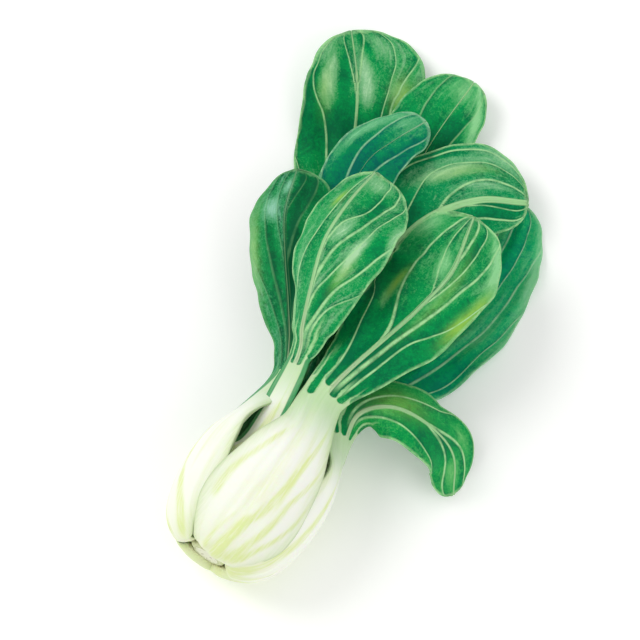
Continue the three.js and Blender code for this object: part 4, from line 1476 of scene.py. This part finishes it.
# %% Ride and replace
for name, piece in leaf_pieces.items():
    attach(piece, "root")
    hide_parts(name + "_stalk", name + "_blade")
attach(stem_piece, "root")
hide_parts("stem_base")
print("pieces on the body:", len(leaf_pieces) + 1)

# %% [markdown]
# ## Table, light and camera
#
# The head is shown from above and a little from the butt's side, with a long lens, so that it
# looks as flat as a drawn plate. A large soft lamp from the upper left models the ribs, and a
# bright surrounding keeps the shadows light. A sun lamp could light it as well, but its shadows
# would be harder. The table is almost white, and glows very faintly so that it stays white where
# the soft light thins out.

# %% The table top
FLOOR_HALF = 3.0
TABLE_GAP = 0.0002
TABLE_GLOW = 0.14
TABLE_WHITE, TABLE_DUST = colour(250, 250, 248), colour(247, 248, 246)
floor_mesh = bpy.data.meshes.new("table_top")
floor_mesh.from_pydata(
    [(-FLOOR_HALF, -FLOOR_HALF, 0), (FLOOR_HALF, -FLOOR_HALF, 0),
     (FLOOR_HALF, FLOOR_HALF, 0), (-FLOOR_HALF, FLOOR_HALF, 0)],
    [], [(0, 1, 2, 3)],
)
table_top = add_to_scene("table_top", floor_mesh)
table_top.location.z = -TABLE_GAP
material, tree, shader = empty_material("table_white")
dust = clouds(in_space(tree), scale=0.02, detail=2.0)
feed(tree, shader.inputs["Base Color"], mix(tree, dust, TABLE_WHITE, TABLE_DUST))
shader.inputs["Roughness"].default_value = 0.8
shader.inputs["Specular IOR Level"].default_value = 0.2
shader.inputs["Emission Color"].default_value = (1.0, 1.0, 1.0, 1)
shader.inputs["Emission Strength"].default_value = TABLE_GLOW
floor_mesh.materials.append(material)
print("the table is", 2 * FLOOR_HALF, "m wide")

# %% The camera
AZIMUTH, ELEVATION = math.radians(34), math.radians(70)
MM_PER_PIXEL = 0.458
PICTURE = 640
# Where the middle of the butt is seen, in pixels from the upper left corner
BUTT_PIXEL = (206.8, 555.0)
DISTANCE = 2.2
SENSOR = 36
right = Vector((math.cos(AZIMUTH), math.sin(AZIMUTH), 0))
back = Vector((
    math.sin(AZIMUTH) * math.cos(ELEVATION),
    -math.cos(AZIMUTH) * math.cos(ELEVATION),
    math.sin(ELEVATION),
))
up = back.cross(right)
butt = Vector((0, -butt_to_rest, AXIS_HEIGHT)) * MM
target = (
    butt
    + right * (PICTURE / 2 - BUTT_PIXEL[0]) * MM_PER_PIXEL * MM
    + up * (BUTT_PIXEL[1] - PICTURE / 2) * MM_PER_PIXEL * MM
)
camera_data = bpy.data.cameras.new("camera")
camera_data.sensor_width = SENSOR
camera_data.lens = SENSOR * DISTANCE / (PICTURE * MM_PER_PIXEL * MM)
camera_data.clip_end = 20
camera = add_to_scene("camera", camera_data)
camera.matrix_world = Matrix.Translation(target + back * DISTANCE) @ Matrix(
    (right, up, back)).transposed().to_4x4()
bpy.context.scene.camera = camera
print("lens:", round(camera_data.lens), "mm")

# %% The lamps and the surrounding
def soft_lamp(name, across_view, up_view, toward, size, power):
    """A round lamp, placed as the camera sees it and turned to the head; metres and watts."""
    lamp_data = bpy.data.lights.new(name, "AREA")
    lamp_data.shape = "DISK"
    lamp_data.size = size
    lamp_data.energy = power
    lamp = add_to_scene(name, lamp_data)
    lamp.location = target + right * across_view + up * up_view + back * toward
    lamp.rotation_euler = (target - lamp.location).to_track_quat("-Z", "Y").to_euler()
    print(name, "stands", round((target - lamp.location).length, 2), "m away")


ROOM_STRENGTH = 0.68
soft_lamp("window_side", across_view=-1.1, up_view=0.9, toward=1.3, size=1.1, power=14.5)
soft_lamp("fill_side", across_view=1.3, up_view=-0.4, toward=1.5, size=1.6, power=8)
world = bpy.data.worlds.new("pale_room")
world.use_nodes = True
sky = next(n for n in world.node_tree.nodes if n.type == "BACKGROUND")
sky.inputs["Color"].default_value = (1.0, 1.0, 1.0, 1)
sky.inputs["Strength"].default_value = ROOM_STRENGTH
bpy.context.scene.world = world
bpy.context.scene.view_settings.view_transform = "Standard"

# %% [markdown]
# ## Finish
#
# At the end the scene is brought up to date.

# %% Bring the scene up to date
bpy.context.view_layer.update()
